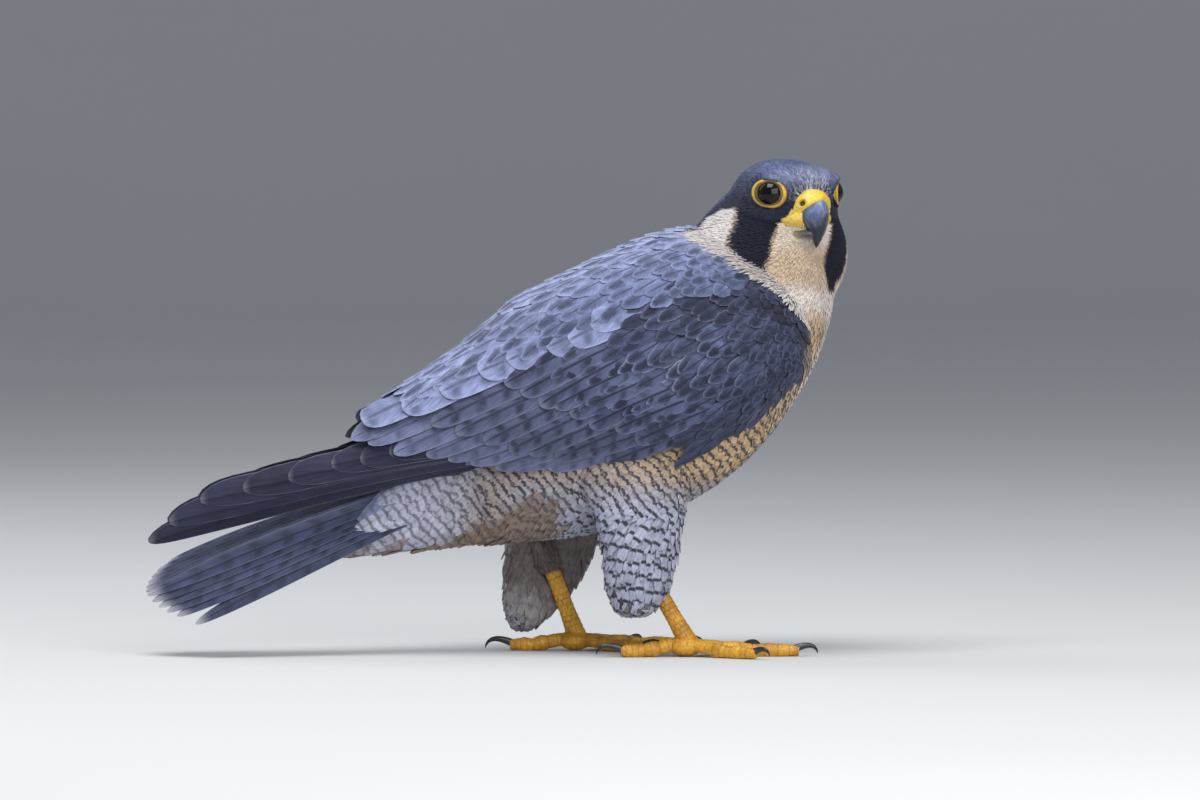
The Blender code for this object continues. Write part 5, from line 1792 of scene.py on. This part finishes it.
def tube(path: Array, radii: Array, around: int, squash: float = 1.0, power: float = 2.0) -> Shape:
    """A closed round solid along a path, its sections square to the path and level sideways."""
    along = unit(np.gradient(path, axis=0))
    level = unit(np.cross(along, np.where(np.abs(along[:, 2:]) > 0.97, (1.0, 0, 0), (0, 0, 1.0))))
    across = np.cross(level, along)
    turn = np.linspace(0, math.tau, around, endpoint=False)
    c, s = (np.sign(f(turn)) * np.abs(f(turn)) ** (2 / power) for f in (np.cos, np.sin))
    radii = np.asarray(radii) if np.ndim(radii) == 2 else np.asarray(radii)[:, None]
    grid = path[:, None] + across[:, None] * (c * radii)[..., None] + level[:, None] * (s * radii * squash)[..., None]
    return Shape.one(grid)


@dataclass
class Leg:
    """One scaly leg: tarsus, foot, four toes and their claws.

    Attributes:
        toes: name, degrees outwards from straight ahead, length, stoutness and claw length.
    """

    side: Side
    heel: Point
    ankle: Point
    toes: tuple[tuple[Any, ...], ...] = (
        ("middle", 4, 48, 1.0, 17), ("outer", 43, 35, 0.92, 15), ("inner", -36, 32, 0.96, 18),
        ("hind", 176, 24, 1.0, 20),
    )
    tarsus_radius: float = 4.1
    toe_radius: float = 3.5
    toe_start: float = 9.4

    def scutes(self, share: Array, turn: Array, rows: float, round_count: float) -> tuple[Array, Array]:
        """Overlapping plates: for each point the height of its plate from 0 to 1, and the seam beside it."""
        row = share * rows
        shift = np.floor(row) * 0.5
        across = (turn / math.tau * round_count + shift) % 1.0
        down = row % 1.0
        front = ease(0.2, 0.7, np.cos(turn))
        across = across * (1 - front) + 0.5 * front
        edge = np.minimum(np.minimum(across, 1 - across) * 2.2, np.minimum(down, 1 - down) * 2.0)
        return ease(0.0, 0.45, edge), ease(0.22, 0.0, edge)

    def limb(self, path: Array, radii: Array, around: int, rows: float, round_count: float, relief: float,
             squash: float = 1.0) -> Shape:
        """A scaly tube."""
        turn = np.linspace(0, math.tau, around, endpoint=False)[None]
        share = np.linspace(0, 1, len(path))[:, None]
        plate, seam = self.scutes(share, turn, rows, round_count)
        shape = tube(path, radii[:, None] + relief * (plate - 0.5), around, squash)
        skin = np.stack([seam.ravel() * 0.7, 0 * seam.ravel(),
                         np.clip(0.15 + 0.25 * ripple(shape.points, 5), 0, 1)], -1)
        return shape.tinted(skin=skin)

    def cuff(self, finishes: Dress) -> None:
        """Fluff round the top of the shin: a small dome on its axis and loose feathers that lie down it, the left
        one's darker as painted shade.
        """
        tufts = 260
        heel, ankle = np.array(self.heel, float), np.array(self.ankle, float)
        up = unit(heel - ankle)
        course = np.linspace(11, -9, 26)
        radii = np.interp(course, (-9, -4, 3, 8, 10.4, 11), (4.9, 5.6, 6.0, 4.8, 2.4, 0.6))
        dome = tube(heel + up * course[:, None], radii, 32)
        surface = Surface(dome.points, dome.quads)
        rng = np.random.default_rng(41)
        high = (surface.points - heel) @ up
        pick = rng.choice(np.flatnonzero(high > -5), tufts)
        roots = surface.points[pick] + rng.normal(0, 0.5, (tufts, 3))
        length = rng.uniform(6, 15, tufts)
        lie = np.tile(-up, (tufts, 1)) + rng.normal(0, 0.16, (tufts, 3))
        grids = lay(surface, roots, lie, length, 0.10 * length, -0.3 + 0 * length, rng.uniform(0.8, 2.6, tufts),
                    LOOSE, rng)
        # Lit and shaded copies: the right cuff pale grey, the left, on the far side, in darker brown as painted
        # shade.
        pale, dark = ((0.50, 0.50, 0.56), (0.05, 0.05, 0.065)) if self.side is Side.RIGHT else ((0.17, 0.14,
            0.12), (0.07, 0.055, 0.05))
        paint = Paint.plain(tufts, pale, dark, (0.5, 0.3, 0.3), (0.09, 0.3, 0.4, 0.8), rng, 0.35)
        places = np.stack([np.full(tufts, 0.3 + 0.4 * (self.side is Side.LEFT)), 0.1 + 0.8 * rng.random(tufts)], -1)
        coat(grids, LOOSE, paint, places).piece(f"coat_cuff_{self.side.word}", finishes["down"], "barred")

    def build(self, finishes: Dress) -> None:
        """Makes the leg's pieces."""
        self.cuff(finishes)
        word = self.side.word
        heel, ankle = np.array(self.heel, float), np.array(self.ankle, float)
        share = np.linspace(-0.12, 1, 90)
        lean = np.clip(share - 0.72, 0, 1)[:,
            None] ** 1.4 * np.array((-20.0, 75.0, 30.0)) * (self.side is Side.LEFT) * 0.4
        girth = np.interp(share, (-0.12, 0, 0.25, 0.55, 0.8, 1),
                          (1.3, 1.2, 1.0, 0.97, 1.02, 1.2)) * self.tarsus_radius
        shin = self.limb(ankle + (heel - ankle) * share[:, None] + lean, girth, 48, 17, 8, 0.30)
        shin.piece(f"shin_{word}", finishes["scale"], "yellow", f"tarsus_{word}")
        pole, turn = np.linspace(0.02, math.pi - 0.02, 36)[:, None], np.linspace(0, math.tau, 60,
            endpoint=False)[None]
        ball = np.stack(np.broadcast_arrays(np.sin(pole) * np.cos(turn) * 8.6, np.sin(pole) * np.sin(turn) * 8.0,
            np.cos(pole) * 5.2), -1)
        plate, seam = self.scutes(pole / math.pi, turn, 6, 12)
        ball = ball * (1 + 0.03 * plate[..., None]) + np.array((ankle[0], ankle[1], 5.4))
        ball[..., 2] = np.maximum(ball[..., 2], 0.15)
        hub = Shape.one(ball)
        sole = hub.tinted(skin=np.stack(np.broadcast_arrays(seam.ravel() * 0.6, 0.0, 0.15), -1))
        for name, degrees, length, stout, claw_length in self.toes:
            angle = math.radians(degrees * self.side.value)
            forward = np.array((math.cos(angle), math.sin(angle), 0.0))
            start = np.array((ankle[0], ankle[1], 0.0)) + forward * self.toe_start
            rows = smooth_rows(
                ((-9.0 / length, 6.2, 1.15), (-0.12, 5.8, 0.95), (0.12, 4.9, 1.0), (0.38, 3.7, 1.12),
                 (0.56, 3.1, 0.94), (0.74, 3.1, 1.06), (0.92, 3.1, 0.86), (1.03, 2.8, 0.66)), 84
            )
            path = start + forward * (rows[:, :1] * length) + rows[:, 1:2] * np.array((0, 0, 1.0))
            knots = 1 + 0.05 * np.cos(rows[:, 0] * math.tau * 3)
            toe = self.limb(path, rows[:, 2] * self.toe_radius * stout * knots, 40, length / 2.6, 7, 0.26, 0.96)
            toe.points[:, 2] = np.maximum(toe.points[:, 2], 0.05)
            toe.piece(f"digit_{word}_{name}", finishes["scale"], "yellow", f"toe_{word}_{name}")
            curl = np.linspace(0, 1, 30)
            ahead = claw_length * 0.80 * np.sin(curl * 1.45) - 2.2
            rise = claw_length * (0.20 * np.sin(curl * math.pi * 0.85) - 0.19 * curl**2)
            base = start + forward * length + (0, 0, 3.2)
            course = base + forward * ahead[:, None] + rise[:, None] * np.array((0, 0, 1.0))
            radii = 2.05 * stout * (1 - curl) ** 0.75 + 0.12
            claw = tube(course, radii, 24, 0.78)
            claw.points[:, 2] = np.maximum(claw.points[:, 2], 0.05)
            claw.piece(f"talon_{word}_{name}", finishes["talon"], "black", f"claw_{word}_{name}")
        sole.piece(f"sole_{word}", finishes["scale"], "yellow", f"foot_{word}")


@dataclass
class Studio:
    """Pale floor, soft light from the sky and three large lamps, and the camera."""

    target: Point = (53.3, 0, 132.1)
    azimuth: float = -6
    elevation: float = 2
    distance: float = 6.0
    lens: float = 346

    def lamp(self, name: str, place: Point, size: float, power: float, colour: Colour) -> None:
        """A square lamp that faces the bird."""
        light = bpy.data.lights.new(name, "AREA")
        light.size, light.energy, light.color = size, power, colour
        made = bpy.data.objects.new(name, light)
        made.location = place
        made.rotation_euler = (Vector(place) - Vector((0.03, 0, 0.13))).to_track_quat("Z", "Y").to_euler()
        bpy.context.scene.collection.objects.link(made)

    def build(self) -> None:
        """Makes the floor that sweeps up into a backdrop, lights, world and camera."""
        bend = np.linspace(0, math.pi / 2, 24)
        y = np.concatenate([[-14.0, 0.0], 6.4 + 4.0 * np.sin(bend), [10.4]])
        z = np.concatenate([[0.0, 0.0], 4.0 - 4.0 * np.cos(bend), [16.0]])
        x = np.linspace(-16, 16, 3)
        grid = np.stack([np.tile(x, (len(y), 1)), np.tile(y[:, None], (1, 3)), np.tile(z[:, None], (1, 3))], -1)
        index = np.arange(len(y) * 3).reshape(-1, 3)
        quads = np.stack([index[:-1, :-1], index[:-1, 1:], index[1:, 1:], index[1:, :-1]], -1).reshape(-1, 4)
        mesh = bpy.data.meshes.new("floor")
        mesh.from_pydata(grid.reshape(-1, 3).tolist(), [], quads.tolist())
        mesh.shade_smooth()
        floor = bpy.data.objects.new("floor", mesh)
        mesh.materials.append(PlainFinish("floor", (0.62, 0.63, 0.64)).make())
        bpy.context.scene.collection.objects.link(floor)
        self.lamp("top", (-0.35, -0.7, 2.2), 1.3, 42, (1.0, 0.99, 0.97))
        self.lamp("key", (0.6, -2.0, 0.9), 1.5, 24, (1.0, 0.98, 0.95))
        self.lamp("back", (-1.2, 1.1, 1.5), 1.6, 14, (0.92, 0.96, 1.0))
        world = bpy.data.worlds.new("studio")
        world.use_nodes = True
        world.node_tree.nodes["Background"].inputs[0].default_value = (0.86, 0.91, 1.0, 1)
        world.node_tree.nodes["Background"].inputs[1].default_value = 0.34
        bpy.context.scene.world = world
        camera = bpy.data.cameras.new("camera")
        camera.lens, camera.sensor_width = self.lens, 36
        camera.clip_end = 40
        made = bpy.data.objects.new("camera", camera)
        a, e = math.radians(self.azimuth), math.radians(self.elevation)
        back = Vector((math.sin(a) * math.cos(e), -math.cos(a) * math.cos(e), math.sin(e)))
        made.location = Vector(self.target) * MM + back * self.distance
        made.rotation_euler = back.to_track_quat("Z", "Y").to_euler()
        bpy.context.scene.collection.objects.link(made)
        bpy.context.scene.camera = made
        bpy.context.scene.view_settings.view_transform = "Standard"


def finishes() -> Dress:
    """The materials by short name."""
    made = {
        # skin under the feathers at half their colour, as painted shade
        "skin": SkinFinish("under_feathers"),
        "face": FeatherFinish("feathers_face", 0.7, 0.04, 12, 0.2),
        "down": FeatherFinish("feathers_body", 0.75, 0.08, 20, 0.24, stripe=0.54),
        "thigh": FeatherFinish("feathers_thigh", 0.75, 0.08, 20, 0.24, stripe=0.62),
        "vane": FeatherFinish("feathers_wing", 0.62, 0.05, 26, 0.28),
        "flight": FeatherFinish("feathers_flight", 0.52, 0.04, 60, 0.24, 0.9),
        # the wing's core darkened only a little by painted shade
        "core": SkinFinish("under_wing", 0.95),
        "rectrix": FeatherFinish("feathers_tail", 0.52, 0.04, 60, 0.3, 0.7, 0.92),
        "horn": HornFinish("bill_horn", (0.16, 0.205, 0.39), (0.011, 0.013, 0.024), (0.22, 0.66), 0.34),
        "horn_low": HornFinish("bill_horn_low", (0.42, 0.36, 0.16), (0.07, 0.08, 0.12), (0.25, 0.7)),
        "talon": HornFinish("claw_horn", (0.035, 0.035, 0.038), (0.008, 0.008, 0.009), (0.1, 0.9), 0.22),
        "cere": ScaleFinish("cere_skin", (0.86, 0.60, 0.035), (0.88, 0.68, 0.14), (0.30, 0.15, 0.02), 900, 0.42,
                            0.30),
        "lid": ScaleFinish("lid_skin", (0.74, 0.46, 0.045), (0.52, 0.30, 0.035), (0.04, 0.025, 0.012), 1500,
                           0.45, 0.35),
        "scale": ScaleFinish("leg_skin", (0.82, 0.42, 0.025), (0.62, 0.29, 0.02), (0.20, 0.09, 0.015), 520, 0.45,
                             0.3),
        "eye": EyeFinish("eye"),
    }
    return {name: finish.make() for name, finish in made.items()}


def main() -> None:
    """Builds the bird and places light and camera."""
    logging.basicConfig(level=logging.INFO, format="%(message)s")
    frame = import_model()
    head, cloak = Head(), Cloak()
    lie, plumage = Lie(head), Plumage(head)
    dress = finishes()
    Body(head, lie, cloak, plumage).build(frame, dress)
    Wings(cloak, lie, plumage).build(dress)
    Tail().build(dress)
    Face(head).build(dress)
    Leg(Side.RIGHT, (73, -34, 47), (94.5, -31.5, 10)).build(dress)
    Leg(Side.LEFT, (27.5, 30, 52), (43.5, 31.5, 10)).build(dress)
    Studio().build()


if __name__ == "__main__":
    main()
